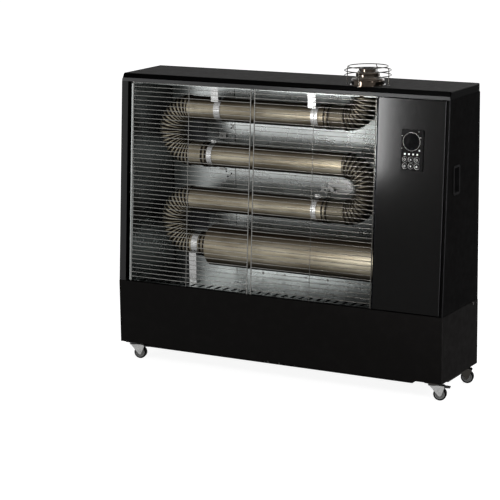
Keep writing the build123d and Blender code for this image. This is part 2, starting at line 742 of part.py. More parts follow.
# Wall between the heat chamber and the burner bay
CEILING_Z = LIP_Z - REFLECTOR_TOP_DROP
PARTITION_TOP = LIP_Z - PARTITION_SHORT
PARTITION_BACK = BACK - BASE_FLANGE - FOLD_CLEARANCE
with BuildPart() as partition_wall:
    with BuildSketch(Plane.YZ.offset(PARTITION_X)):
        with BuildLine():
            Polyline(
                (front_y(DECK_TOP) + DOOR_DEPTH, DECK_TOP),
                (PARTITION_BACK, DECK_TOP),
                (PARTITION_BACK, PARTITION_TOP),
                (front_y(PARTITION_TOP) + DOOR_DEPTH, PARTITION_TOP),
                close=True,
            )
        make_face()
    extrude(amount=SHEET)
    block(
        (FLANGE_X, front_y(DECK_TOP) + DOOR_DEPTH + FOLD_CLEARANCE, DECK_TOP),
        (PARTITION_X + BASE_FLANGE, PARTITION_BACK, DECK_TOP + SHEET),
    )
    blast_hole = across(PARTITION_X - CUT, TUBE_Y, CHAMBER_Z)
    rod(blast_hole, BLAST_TUBE_RADIUS + BLAST_HOLE_GAP, SHEET + 2 * CUT, Mode.SUBTRACT)
save(partition_wall, "partition_wall")

# Reflectors round the heat chamber
FLOOR_LOW = DECK_TOP + FIT_GAP
FLOOR_TOP = FLOOR_LOW + REFLECTOR_SHEET
REFLECTOR_LIP = REFLECTOR_FRONT_GAP - 2 * REFLECTOR_SHEET
with BuildPart() as reflector_back:
    block(
        (CAVITY_LEFT + LEFT_SPLAY, REFLECTOR_Y, FLOOR_TOP + FIT_GAP),
        (CAVITY_RIGHT - RIGHT_SPLAY, REFLECTOR_Y + REFLECTOR_SHEET, CEILING_Z - FIT_GAP),
    )
save(reflector_back, "reflector_back")

with BuildPart() as reflector_sides:
    walls = ((-1, CAVITY_LEFT, LEFT_SPLAY), (1, CAVITY_RIGHT, RIGHT_SPLAY))
    for side, edge_x, splay in walls:
        back_x = edge_x - side * splay
        skin = side * REFLECTOR_SHEET
        with BuildSketch(Plane.XY.offset(FLOOR_TOP + FIT_GAP)):
            with BuildLine():
                Polyline(
                    (edge_x, FRONT),
                    (edge_x + skin, FRONT),
                    (back_x + skin, REFLECTOR_Y - FIT_GAP),
                    (back_x, REFLECTOR_Y - FIT_GAP),
                    close=True,
                )
            make_face()
        extrude(amount=CEILING_Z - FLOOR_TOP - 2 * FIT_GAP)
    with BuildSketch(front_plane.offset(-REFLECTOR_LIP)):
        with Locations((0, SLOPE_LENGTH / 2)):
            Rectangle(2 * CASE_WIDTH, 2 * SLOPE_LENGTH)
    extrude(amount=CASE_DEPTH, mode=Mode.SUBTRACT)
    low_u, high_u = up_slope(FLOOR_TOP + 2 * FIT_GAP), up_slope(CEILING_Z - 4 * FIT_GAP)
    for side, edge_x, splay in walls:
        with BuildSketch(front_plane.offset(-REFLECTOR_LIP - REFLECTOR_SHEET / 2)):
            with Locations((edge_x + side * REFLECTOR_STRIP / 4, (low_u + high_u) / 2)):
                Rectangle(REFLECTOR_STRIP, high_u - low_u)
        extrude(amount=REFLECTOR_SHEET)
    chamber_hole = across(CAVITY_RIGHT - RIGHT_SPLAY - CUT, TUBE_Y, CHAMBER_Z)
    rod(chamber_hole, CHAMBER_RADIUS + BLAST_HOLE_GAP, RIGHT_SPLAY + PARTITION_GAP, Mode.SUBTRACT)
save(reflector_sides, "reflector_sides")

with BuildPart() as reflector_top:
    block(
        (CAVITY_LEFT, front_y(CEILING_Z) + REFLECTOR_FRONT_GAP, CEILING_Z),
        (CAVITY_RIGHT, REFLECTOR_Y + REFLECTOR_SHEET, CEILING_Z + REFLECTOR_SHEET),
    )
    flue_hole = upright(FLUE_X, FLUE_Y, CEILING_Z - CUT)
    rod(flue_hole, LID_HOLE_RADIUS, REFLECTOR_SHEET + 2 * CUT, Mode.SUBTRACT)
save(reflector_top, "reflector_top")

with BuildPart() as reflector_bottom:
    bottom_front = front_y(FLOOR_TOP) + REFLECTOR_FRONT_GAP
    block(
        (CAVITY_LEFT, bottom_front, FLOOR_LOW),
        (CAVITY_RIGHT, REFLECTOR_Y + REFLECTOR_SHEET, FLOOR_TOP),
    )
    slots = int((CAVITY_RIGHT - CAVITY_LEFT - SLOT_PITCH) // SLOT_PITCH)
    with BuildSketch(Plane.XY.offset(FLOOR_LOW - CUT)):
        slot_y = bottom_front + SLOT_FROM_EDGE + SLOT_LENGTH / 2
        with Locations(((CAVITY_LEFT + CAVITY_RIGHT) / 2, slot_y)):
            with GridLocations(SLOT_PITCH, SLOT_PITCH, slots, 1):
                SlotOverall(SLOT_LENGTH, SLOT_WIDTH, rotation=90)
    extrude(amount=REFLECTOR_SHEET + 2 * CUT, mode=Mode.SUBTRACT)
save(reflector_bottom, "reflector_bottom")

# Wire guards in front of the heat chamber
GUARD_MIDDLE_X = CAVITY_LEFT + GUARD_MIDDLE_SHARE * (CAVITY_RIGHT - CAVITY_LEFT)
GUARD_LOW = up_slope(DECK_TOP + 3 * FIT_GAP)
GUARD_HIGH = up_slope(LIP_Z + GUARD_TUCK)
with BuildPart() as wire_guards:
    wire_room = up_slope(LIP_Z) - GUARD_LOW - GUARD_FIRST_WIRE - GUARD_WIRE
    wire_count = int(wire_room // GUARD_PITCH) + 1
    wire_depth = front_plane.z_dir * -GUARD_SET_BACK
    up = front_plane.y_dir
    halves = (
        (CAVITY_LEFT + GUARD_BAR + GUARD_SIDE_GAP, GUARD_MIDDLE_X - GUARD_MIDDLE_GAP / 2),
        (GUARD_MIDDLE_X + GUARD_MIDDLE_GAP / 2, CAVITY_RIGHT - GUARD_BAR - GUARD_SIDE_GAP),
    )
    for (low_x, high_x), post_share in zip(halves, GUARD_POST_SHARES):
        across_plane = Plane(
            origin=front_plane.origin + wire_depth + Vector(low_x, 0, 0), x_dir=up, z_dir=(1, 0, 0)
        )
        with BuildSketch(across_plane):
            for step in range(wire_count):
                with Locations((GUARD_LOW + GUARD_FIRST_WIRE + GUARD_PITCH * step, 0)):
                    Circle(GUARD_WIRE)
        extrude(amount=high_x - low_x)
        post_x = low_x + post_share * (high_x - low_x)
        for x, radius, set_back in (
            (low_x, GUARD_BAR, GUARD_SET_BACK),
            (high_x, GUARD_BAR, GUARD_SET_BACK),
            (post_x, GUARD_WIRE, GUARD_SET_BACK + 2 * GUARD_WIRE - GUARD_WELD),
        ):
            foot = front_plane.origin + front_plane.z_dir * -set_back + Vector(x, 0, 0) + up * GUARD_LOW
            rod(Plane(origin=foot, x_dir=(1, 0, 0), z_dir=up), radius, GUARD_HIGH - GUARD_LOW)
save(wire_guards, "wire_guards")


def bead(x, z):
    """Rolled bead round a tube."""
    rod(across(x - BEAD_WIDTH / 2, TUBE_Y, z), TUBE_RADIUS + BEAD_HEIGHT, BEAD_WIDTH, bore=BORE_RADIUS)


def straight_tube(low_x, high_x, z):
    """Straight stretch of tube at a height."""
    rod(across(low_x, TUBE_Y, z), TUBE_RADIUS, high_x - low_x, bore=BORE_RADIUS)


BEAD_OFFSET = BEAD_FROM_END + BEAD_WIDTH / 2

# Combustion chamber, with two beads on its neck
CHAMBER_LEFT = LEFT_BEND_X + CHAMBER_NECK + CHAMBER_CONE
CHAMBER_END = PARTITION_X - FIT_GAP
with BuildPart() as combustion_chamber:
    plane = Plane(origin=(0, TUBE_Y, CHAMBER_Z), x_dir=(1, 0, 0), z_dir=(0, -1, 0))
    neck_end = LEFT_BEND_X + CHAMBER_NECK
    flange_x = CHAMBER_END - CHAMBER_FLANGE_SHEET
    with BuildSketch(plane):
        with BuildLine():
            Polyline(
                (LEFT_BEND_X, TUBE_RADIUS),
                (neck_end, TUBE_RADIUS),
                (CHAMBER_LEFT, CHAMBER_RADIUS),
                (flange_x, CHAMBER_RADIUS),
                (flange_x, CHAMBER_RADIUS + CHAMBER_FLANGE),
                (CHAMBER_END, CHAMBER_RADIUS + CHAMBER_FLANGE),
                (CHAMBER_END, BLAST_TUBE_RADIUS + BLAST_HOLE_GAP),
                (flange_x, BLAST_TUBE_RADIUS + BLAST_HOLE_GAP),
                (flange_x, CHAMBER_RADIUS - CHAMBER_WALL),
                (CHAMBER_LEFT, CHAMBER_RADIUS - CHAMBER_WALL),
                (neck_end, BORE_RADIUS),
                (LEFT_BEND_X, BORE_RADIUS),
                close=True,
            )
        make_face()
    revolve(axis=Axis((0, TUBE_Y, CHAMBER_Z), (1, 0, 0)))
    for from_cone in NECK_BEADS_FROM_CONE:
        bead(neck_end - from_cone, CHAMBER_Z)
save(combustion_chamber, "combustion_chamber")

# Straight heat tubes, with a rolled bead near each clamped end
with BuildPart() as heat_tubes:
    straight_tube(LEFT_BEND_X, RIGHT_JOINT_X, TUBE_HEIGHTS[0])
    bead(RIGHT_JOINT_X - BEAD_OFFSET, TUBE_HEIGHTS[0])
    straight_tube(LEFT_JOINT_X, RIGHT_BEND_X, TUBE_HEIGHTS[1])
    bead(LEFT_JOINT_X + BEAD_OFFSET, TUBE_HEIGHTS[1])
    straight_tube(LEFT_BEND_X, TOP_JOINT_X, TUBE_HEIGHTS[2])
    bead(TOP_JOINT_X - BEAD_OFFSET, TUBE_HEIGHTS[2])
save(heat_tubes, "heat_tubes")

# Ribbed bends: each rib is a ruled stretch through four circles
RIB_SHARES = ((0.0, 0.0), (0.3, 1.0), (0.55, 1.0), (0.85, 0.0))


def rib_stations(count):
    """Shares along a ribbed stretch and how far each circle stands out."""
    stations = [((rib + share) / count, level) for rib in range(count) for share, level in RIB_SHARES]
    return stations + [(1.0, 0.0)]


def ribbed_arc(centre_x, centre_z, start, turn, count):
    """Ribbed tube round an arc in the plane of the tubes, bored through."""
    circles = []
    for share, level in rib_stations(count):
        angle = math.radians(start + turn * share)
        way = math.copysign(1.0, turn)
        point = (
            centre_x + BEND_RADIUS * math.cos(angle),
            TUBE_Y,
            centre_z + BEND_RADIUS * math.sin(angle),
        )
        along = (-way * math.sin(angle), 0, way * math.cos(angle))
        with BuildSketch(Plane(origin=point, x_dir=(0, 1, 0), z_dir=along)) as circle:
            Circle(TUBE_RADIUS + level * RIB_HEIGHT)
        circles.append(circle.sketch)
    loft(circles, ruled=True)
    angle = math.radians(start)
    mouth = Plane(
        origin=(centre_x + BEND_RADIUS * math.cos(angle), TUBE_Y, centre_z + BEND_RADIUS * math.sin(angle)),
        x_dir=(0, 1, 0),
        z_dir=(-math.sin(angle), 0, math.cos(angle)),
    )
    with BuildSketch(mouth) as bore:
        Circle(BORE_RADIUS)
    revolve(
        bore.sketch,
        axis=Axis((centre_x, TUBE_Y, centre_z), (0, -1, 0)),
        revolution_arc=turn,
        mode=Mode.SUBTRACT,
    )


with BuildPart() as bend_left_upper:
    ribbed_arc(LEFT_BEND_X, (TUBE_HEIGHTS[1] + TUBE_HEIGHTS[2]) / 2, 90, 180, RIBS_PER_BEND)
    straight_tube(LEFT_BEND_X, LEFT_JOINT_X, TUBE_HEIGHTS[1])
    bead(LEFT_JOINT_X - BEAD_OFFSET, TUBE_HEIGHTS[1])
save(bend_left_upper, "bend_left_upper")

with BuildPart() as bend_left_lower:
    ribbed_arc(LEFT_BEND_X, (CHAMBER_Z + TUBE_HEIGHTS[0]) / 2, 90, 180, RIBS_PER_BEND)
save(bend_left_lower, "bend_left_lower")

with BuildPart() as bend_right:
    ribbed_arc(RIGHT_BEND_X, (TUBE_HEIGHTS[0] + TUBE_HEIGHTS[1]) / 2, -90, 180, RIBS_PER_BEND)
    straight_tube(RIGHT_JOINT_X, RIGHT_BEND_X, TUBE_HEIGHTS[0])
    bead(RIGHT_JOINT_X + BEAD_OFFSET, TUBE_HEIGHTS[0])
save(bend_right, "bend_right")

# Elbow that takes the upper tube up through the lid
ELBOW_TOP = TOP_Z - 2 * SHEET
with BuildPart() as flue_elbow:
    ribbed_arc(ELBOW_X, TUBE_HEIGHTS[2] + BEND_RADIUS, -90, 90, RIBS_PER_BEND // 2)
    straight_tube(TOP_JOINT_X, ELBOW_X, TUBE_HEIGHTS[2])
    bead(TOP_JOINT_X + BEAD_OFFSET, TUBE_HEIGHTS[2])
    rod(
        upright(FLUE_X, FLUE_Y, TUBE_HEIGHTS[2] + BEND_RADIUS),
        TUBE_RADIUS,
        ELBOW_TOP - TUBE_HEIGHTS[2] - BEND_RADIUS,
        bore=BORE_RADIUS,
    )
save(flue_elbow, "flue_elbow")

# Clamps round the tubes
TUBE_CLAMPS = (
    (LEFT_JOINT_X + LEFT_CLAMP_FROM_JOINT, TUBE_HEIGHTS[1]),
    (RIGHT_JOINT_X - RIGHT_CLAMP_FROM_JOINT, TUBE_HEIGHTS[0]),
)
HANGERS = (LEFT_BEND_X + HANGER_FROM_BEND, TOP_JOINT_X - HANGER_FROM_JOINT)


def tube_clamp(x, z, width):
    """Split band round a tube with two ears and its screw below."""
    plane = across(x - width / 2, TUBE_Y, z)
    rod(plane, TUBE_RADIUS + FIT_GAP + CLAMP_SHEET, width, bore=TUBE_RADIUS + FIT_GAP)
    low = z + TUBE_RADIUS
    for side in (-1, 1):
        ys = sorted((TUBE_Y + side * CLAMP_GAP / 2, TUBE_Y + side * (CLAMP_GAP / 2 + CLAMP_SHEET)))
        ear_low = low + FIT_GAP + CLAMP_SHEET / 2
        block((x - width / 2, ys[0], ear_low), (x + width / 2, ys[1], low + CLAMP_EAR))
    screw_z = low + CLAMP_EAR - 2 * CLAMP_SCREW
    pin = Plane(origin=(x, TUBE_Y - CLAMP_GAP, screw_z), x_dir=(1, 0, 0), z_dir=(0, 1, 0))
    rod(pin, CLAMP_SCREW, 2 * CLAMP_GAP)
    rod(pin, CLAMP_SCREW_HEAD, -CLAMP_SCREW)


with BuildPart() as band_clamps:
    for x, z in TUBE_CLAMPS:
        tube_clamp(x, z, CLAMP_WIDTH)
save(band_clamps, "band_clamps")


def strap_loop(x, z, end_z):
    """Strap round a tube, held by a strip beside it that ends in a foot at another height."""
    ring = TUBE_RADIUS + FIT_GAP + STRAP_SHEET
    rod(across(x - STRAP_WIDTH / 2, TUBE_Y, z), ring, STRAP_WIDTH, bore=ring - STRAP_SHEET)
    way = math.copysign(1.0, end_z - z)
    forward = HANGER_FORWARD * ring
    start_z = z + way * math.sqrt((ring - STRAP_SHEET / 2) ** 2 - forward**2)
    low_x = x - HANGER_ASIDE - HANGER_WIDTH / 2
    high_x = low_x + HANGER_WIDTH
    low_z, high_z = sorted((start_z, end_z))
    foot_low, foot_high = sorted((end_z - way * STRAP_SHEET, end_z))
    block((low_x, TUBE_Y - forward - STRAP_SHEET, low_z), (high_x, TUBE_Y - forward, high_z))
    block((low_x, TUBE_Y - forward - STRAP_SHEET, foot_low), (high_x, TUBE_Y, foot_high))


# Straps that hang the upper tube and stand the chamber's neck, and brackets behind the chamber
with BuildPart() as tube_supports:
    for x in HANGERS:
        strap_loop(x, TUBE_HEIGHTS[2], CEILING_Z - FIT_GAP)
    strap_loop(LEFT_BEND_X + NECK_STRAP_FROM_BEND, CHAMBER_Z, FLOOR_TOP)
    bracket_low = CHAMBER_Z - BRACKET_HEIGHT / 2
    bracket_high = CHAMBER_Z + BRACKET_HEIGHT / 2
    for x in (CHAMBER_LEFT + BRACKET_FROM_CONE, CHAMBER_END - BRACKET_FROM_END):
        with BuildSketch(Plane.YZ.offset(x)):
            with Locations(((TUBE_Y + REFLECTOR_Y) / 2, CHAMBER_Z)):
                Rectangle(REFLECTOR_Y - TUBE_Y, BRACKET_HEIGHT)
            with Locations((TUBE_Y, CHAMBER_Z)):
                Circle(CHAMBER_RADIUS + FIT_GAP, mode=Mode.SUBTRACT)
        extrude(amount=BRACKET_SHEET)
        block((x, REFLECTOR_Y - BRACKET_SHEET, bracket_low), (x + BRACKET_FOOT, REFLECTOR_Y, bracket_high))
save(tube_supports, "tube_supports")

# Flue outlet: a polished stepped bell that ends in the spigot
def step_arc(low, high, along, up):
    """Arc between two points of the bell through a point at given shares of the way."""
    ThreePointArc(low, (low[0] + (high[0] - low[0]) * along, low[1] + (high[1] - low[1]) * up), high)


def outlet_profile(inset):
    """Half outline of the bell, drawn as radius and height above the lid."""
    top = OUTLET_HEIGHT + (CUT if inset else 0.0)
    low = -CUT if inset else 0.0
    skirt = (OUTLET_RADIUS - inset, SKIRT_HEIGHT)
    shoulder = (SHOULDER_RADIUS - inset, SHOULDER_HEIGHT - inset)
    waist = (SPIGOT_RADIUS + WAIST_STEP - inset, WAIST_HEIGHT - inset / 2)
    roll = (SPIGOT_RADIUS + WAIST_STEP - inset, ROLL_HEIGHT - inset / 2)
    neck = (SPIGOT_RADIUS - inset, OUTLET_HEIGHT - SPIGOT_LENGTH - inset)
    Line((OUTLET_RADIUS - inset, low), skirt)
    step_arc(skirt, shoulder, ARC_SHORT, ARC_LONG)
    step_arc(shoulder, waist, ARC_LONG, ARC_SHORT)
    Line(waist, roll)
    step_arc(roll, neck, ARC_SHORT, ARC_LONG)
    Line(neck, (SPIGOT_RADIUS - inset, top))
    Line((SPIGOT_RADIUS - inset, top), (0, top))
    Line((0, top), (0, low))
    Line((0, low), (OUTLET_RADIUS - inset, low))


with BuildPart() as flue_outlet:
    bell_plane = Plane(origin=(FLUE_X, FLUE_Y, TOP_Z), x_dir=(1, 0, 0), z_dir=(0, -1, 0))
    for inset, mode in ((0.0, Mode.ADD), (OUTLET_WALL, Mode.SUBTRACT)):
        with BuildSketch(bell_plane):
            with BuildLine():
                outlet_profile(inset)
            make_face()
        revolve(axis=Axis((FLUE_X, FLUE_Y, TOP_Z), (0, 0, 1)), mode=mode)
    rod(
        upright(FLUE_X, FLUE_Y, TOP_Z),
        OUTLET_RADIUS + OUTLET_FLANGE,
        OUTLET_WALL,
        bore=OUTLET_RADIUS - OUTLET_WALL,
    )
save(flue_outlet, "flue_outlet")

# Wire cage round the outlet
with BuildPart() as flue_guard:
    for height in CAGE_HEIGHTS:
        with Locations((FLUE_X, FLUE_Y, TOP_Z + height)):
            Torus(CAGE_RADIUS, CAGE_WIRE)
    with Locations((FLUE_X, FLUE_Y, TOP_Z + CAGE_TOP_HEIGHT)):
        Torus(CAGE_TOP_RADIUS, CAGE_WIRE)
    leg_radius = CAGE_RADIUS - 2 * CAGE_WIRE + CAGE_WELD
    knee = CAGE_HEIGHTS[-1] + CAGE_KNEE
    for step in range(CAGE_LEGS):
        turn = math.radians(CAGE_LEG_TURN + 360 * step / CAGE_LEGS)
        out = Vector(math.cos(turn), math.sin(turn), 0)
        foot = Vector(FLUE_X, FLUE_Y, TOP_Z) + out * leg_radius
        knee_point = foot + Vector(0, 0, knee)
        tip = Vector(FLUE_X, FLUE_Y, TOP_Z + CAGE_TOP_HEIGHT) + out * (CAGE_TOP_RADIUS + CAGE_WELD)
        rod(Plane(origin=foot, z_dir=(0, 0, 1)), CAGE_WIRE, knee)
        with Locations(knee_point):
            Sphere(CAGE_WIRE)
        rod(Plane(origin=knee_point, z_dir=tip - knee_point), CAGE_WIRE, (tip - knee_point).length)
        rod(Plane(origin=foot, z_dir=(0, 0, 1)), CAGE_FOOT, CAGE_WIRE)
save(flue_guard, "flue_guard")

# Control door: a folded tray on the leaning front
DOOR_LEFT = CAVITY_RIGHT + DOOR_GAP_LEFT
DOOR_RIGHT = RIGHT - DOOR_GAP_RIGHT
DOOR_LOW = up_slope(DECK_TOP) + DOOR_GAP_LOW
DOOR_HIGH = up_slope(LIP_Z) - DOOR_GAP_HIGH
UNIT_X = RIGHT - UNIT_FROM_RIGHT
UNIT_U = up_slope(LIP_Z - UNIT_FROM_LIP)
UNIT_TOP_U = UNIT_U + UNIT_HEIGHT / 2
with BuildPart() as control_door:
    with BuildSketch(front_plane.offset(DOOR_PROUD)):
        with Locations(((DOOR_LEFT + DOOR_RIGHT) / 2, (DOOR_LOW + DOOR_HIGH) / 2)):
            Rectangle(DOOR_RIGHT - DOOR_LEFT, DOOR_HIGH - DOOR_LOW)
    extrude(amount=-DOOR_DEPTH)
    face_edges = control_door.faces().sort_by(Axis.Y)[0].edges()
    fillet(face_edges, FOLD_RADIUS)
    with BuildSketch(front_plane.offset(DOOR_PROUD - SHEET)):
        with Locations(((DOOR_LEFT + DOOR_RIGHT) / 2, (DOOR_LOW + DOOR_HIGH) / 2)):
            Rectangle(DOOR_RIGHT - DOOR_LEFT - 2 * SHEET, DOOR_HIGH - DOOR_LOW - 2 * SHEET)
    extrude(amount=-DOOR_DEPTH, mode=Mode.SUBTRACT)
    with BuildSketch(front_plane.offset(DOOR_PROUD + CUT)):
        with Locations((UNIT_X, UNIT_U)):
            Rectangle(UNIT_WIDTH - 2 * UNIT_RIM, UNIT_HEIGHT - 2 * UNIT_RIM)
    extrude(amount=-SHEET - 2 * CUT, mode=Mode.SUBTRACT)
save(control_door, "control_door")


# Control unit set into the door
UNIT_FACE = DOOR_PROUD + UNIT_PROUD
UNIT_BODY_WIDTH = UNIT_WIDTH - 2 * UNIT_RIM - 2 * FIT_GAP
UNIT_BODY_HEIGHT = UNIT_HEIGHT - 2 * UNIT_RIM - 2 * FIT_GAP
CONTROLS_X = UNIT_X - CONTROLS_LEFTWARD
DISPLAY_U = UNIT_TOP_U - DISPLAY_FROM_TOP
LAMP_U = UNIT_TOP_U - LAMP_FROM_TOP
LAMP_XS = [CONTROLS_X + LAMP_PITCH * (step - (LAMP_COUNT - 1) / 2) for step in range(LAMP_COUNT)]
BUTTON_TOP_U = UNIT_TOP_U - BUTTON_ROW_FROM_TOP
BUTTON_NAMES = (
    ("button_power", "button_up", "button_timer"),
    ("button_mode", "button_down", "button_lock"),
)
BUTTON_SPOTS = [
    (name, CONTROLS_X + BUTTON_PITCH * (column - 1), BUTTON_TOP_U - BUTTON_PITCH * row)
    for row, names in enumerate(BUTTON_NAMES)
    for column, name in enumerate(names)
]


def on_front(x, u, level):
    """Plane on the leaning front at a point, raised by a level."""
    return moved(front_plane.offset(level), x, u)


with BuildPart() as control_unit:
    with BuildSketch(on_front(UNIT_X, UNIT_U, DOOR_PROUD)):
        RectangleRounded(UNIT_WIDTH, UNIT_HEIGHT, UNIT_CORNER)
    extrude(amount=UNIT_PROUD)
    rim = control_unit.faces().sort_by(Axis.Y)[0].edges()
    fillet(rim, UNIT_EDGE)
    with BuildSketch(on_front(UNIT_X, UNIT_U, DOOR_PROUD)):
        Rectangle(UNIT_BODY_WIDTH, UNIT_BODY_HEIGHT)
        Rectangle(UNIT_BODY_WIDTH - 2 * UNIT_WALL, UNIT_BODY_HEIGHT - 2 * UNIT_WALL, mode=Mode.SUBTRACT)
    extrude(amount=-UNIT_DEPTH)
    eye = on_front(CONTROLS_X, DISPLAY_U, DOOR_PROUD)
    rod(eye, DISPLAY_RADIUS + FIT_GAP / 2, UNIT_PROUD, Mode.SUBTRACT)
    for x in LAMP_XS:
        with BuildSketch(on_front(x, LAMP_U, DOOR_PROUD)):
            Rectangle(LAMP_SIZE, LAMP_SIZE)
        extrude(amount=UNIT_PROUD, mode=Mode.SUBTRACT)
    for name, x, u in BUTTON_SPOTS:
        rod(on_front(x, u, DOOR_PROUD), BUTTON_RADIUS + BUTTON_FIT, UNIT_PROUD, Mode.SUBTRACT)
save(control_unit, "control_unit")

with BuildPart() as display_windows:
    lens = on_front(CONTROLS_X, DISPLAY_U, DOOR_PROUD)
    rod(lens, DISPLAY_RADIUS, UNIT_PROUD - DISPLAY_RECESS)
    rod(lens, DISPLAY_RADIUS + WINDOW_FLANGE, -WINDOW_FLANGE)
    for x in LAMP_XS:
        with BuildSketch(on_front(x, LAMP_U, DOOR_PROUD)):
            Rectangle(LAMP_SIZE - FIT_GAP, LAMP_SIZE - FIT_GAP)
        extrude(amount=UNIT_PROUD + LAMP_PROUD)
        with BuildSketch(on_front(x, LAMP_U, DOOR_PROUD)):
            Rectangle(LAMP_SIZE + WINDOW_FLANGE, LAMP_SIZE + WINDOW_FLANGE)
        extrude(amount=-WINDOW_FLANGE)
save(display_windows, "display_windows")

# Push buttons, held behind the face by a flange
BUTTON_BACK = DOOR_PROUD - FIT_GAP
SWITCH_TOP = BUTTON_BACK - BUTTON_FLANGE - BUTTON_TRAVEL - 2 * FIT_GAP
for name, x, u in BUTTON_SPOTS:
    with BuildPart() as button:
        rod(on_front(x, u, BUTTON_BACK), BUTTON_RADIUS, UNIT_FACE - BUTTON_BACK + BUTTON_PROUD)
        fillet(button.faces().sort_by(Axis.Y)[0].edges(), BUTTON_EDGE)
        rod(on_front(x, u, BUTTON_BACK), BUTTON_RADIUS + BUTTON_FLANGE, -BUTTON_FLANGE)
        rod(on_front(x, u, BUTTON_BACK - BUTTON_FLANGE), BUTTON_STEM, -FIT_GAP)
    save(button, name)

# Circuit board behind the buttons, with its switches and display
BOARD_FRONT = SWITCH_TOP - SWITCH_HEIGHT
with BuildPart() as control_board:
    with BuildSketch(on_front(UNIT_X, UNIT_U, BOARD_FRONT)):
        Rectangle(
            UNIT_BODY_WIDTH - 2 * UNIT_WALL - 2 * FIT_GAP,
            UNIT_BODY_HEIGHT - 2 * UNIT_WALL - 2 * FIT_GAP,
        )
    extrude(amount=-BOARD_THICK)
    for name, x, u in BUTTON_SPOTS:
        with BuildSketch(on_front(x, u, BOARD_FRONT)):
            Rectangle(SWITCH_SIZE, SWITCH_SIZE)
        extrude(amount=SWITCH_HEIGHT)
    screen_depth = DOOR_PROUD - WINDOW_FLANGE - FIT_GAP - BOARD_FRONT
    rod(on_front(CONTROLS_X, DISPLAY_U, BOARD_FRONT), DISPLAY_RADIUS - DISPLAY_BACK_INSET, screen_depth)
    for step in range(CHIPS):
        chip_x = UNIT_X + CHIP_PITCH * (step - (CHIPS - 1) / 2)
        with BuildSketch(on_front(chip_x, UNIT_U, BOARD_FRONT - BOARD_THICK)):
            Rectangle(CHIP_SIZE[0], CHIP_SIZE[1])
        extrude(amount=-CHIP_SIZE[2])
save(control_board, "control_board")

# Burner: blast tube through the partition, fan housing, motor and impeller
HOUSING_X = PARTITION_X + BURNER_FROM_PARTITION
FAN_Z = CHAMBER_Z + FAN_ABOVE_NOZZLE
BLAST_START_X = HOUSING_X - BLAST_TUBE_LENGTH
DIFFUSER_X = BLAST_START_X + DIFFUSER_FROM_END
BLAST_BORE = BLAST_TUBE_RADIUS - BLAST_TUBE_WALL
with BuildPart() as blast_tube:
    rod(across(BLAST_START_X, TUBE_Y, CHAMBER_Z), BLAST_TUBE_RADIUS, BLAST_TUBE_LENGTH, bore=BLAST_BORE)
    rod(
        across(FLANGE_X, TUBE_Y, CHAMBER_Z),
        BLAST_TUBE_RADIUS + BLAST_FLANGE,
        BLAST_FLANGE_SHEET,
        bore=BLAST_BORE + BLAST_TUBE_WALL / 2,
    )
    with BuildSketch(across(DIFFUSER_X, TUBE_Y, CHAMBER_Z)):
        Circle(BLAST_BORE + BLAST_TUBE_WALL / 2)
        with PolarLocations(DIFFUSER_SLOT_RADIUS, DIFFUSER_SLOTS):
            Rectangle(*DIFFUSER_SLOT, mode=Mode.SUBTRACT)
    extrude(amount=DIFFUSER_SHEET)
    rod(across(DIFFUSER_X - NOZZLE_LENGTH / 2, TUBE_Y, CHAMBER_Z), NOZZLE_RADIUS, NOZZLE_LENGTH)
    pipe_length = HOUSING_X - DIFFUSER_X + BURNER_WIDTH
    rod(across(DIFFUSER_X, TUBE_Y, CHAMBER_Z), NOZZLE_PIPE_RADIUS, pipe_length)
save(blast_tube, "blast_tube")


def burner_outline(inset, plane):
    """Section of the burner housing: the fan round above, the nozzle round below."""
    with BuildSketch(plane) as section:
        with Locations((TUBE_Y, FAN_Z)):
            Circle(BURNER_RADIUS - inset)
        with Locations((TUBE_Y, CHAMBER_Z)):
            Circle(BURNER_LOBE - inset)
        with Locations((TUBE_Y, (FAN_Z + CHAMBER_Z) / 2)):
            Rectangle(2 * (BURNER_LOBE - inset), FAN_Z - CHAMBER_Z)
    return section.sketch


with BuildPart() as burner_housing:
    extrude(burner_outline(0.0, Plane.YZ.offset(HOUSING_X)), amount=BURNER_WIDTH)
    extrude(
        burner_outline(BURNER_WALL, Plane.YZ.offset(HOUSING_X + BURNER_WALL)),
        amount=BURNER_WIDTH - 2 * BURNER_WALL,
        mode=Mode.SUBTRACT,
    )
    through_wall = BURNER_WALL + 2 * CUT
    near_wall = HOUSING_X - CUT
    far_wall = HOUSING_X + BURNER_WIDTH - BURNER_WALL - CUT
    rod(across(near_wall, TUBE_Y, CHAMBER_Z), BLAST_BORE, through_wall, Mode.SUBTRACT)
    rod(across(near_wall, TUBE_Y, FAN_Z), IMPELLER_RADIUS / 2, through_wall, Mode.SUBTRACT)
    rod(across(far_wall, TUBE_Y, FAN_Z), SHAFT_RADIUS + SHAFT_HOLE_GAP, through_wall, Mode.SUBTRACT)
    rod(across(far_wall, TUBE_Y, CHAMBER_Z), NOZZLE_PIPE_RADIUS + FIT_GAP, through_wall, Mode.SUBTRACT)
save(burner_housing, "burner_housing")

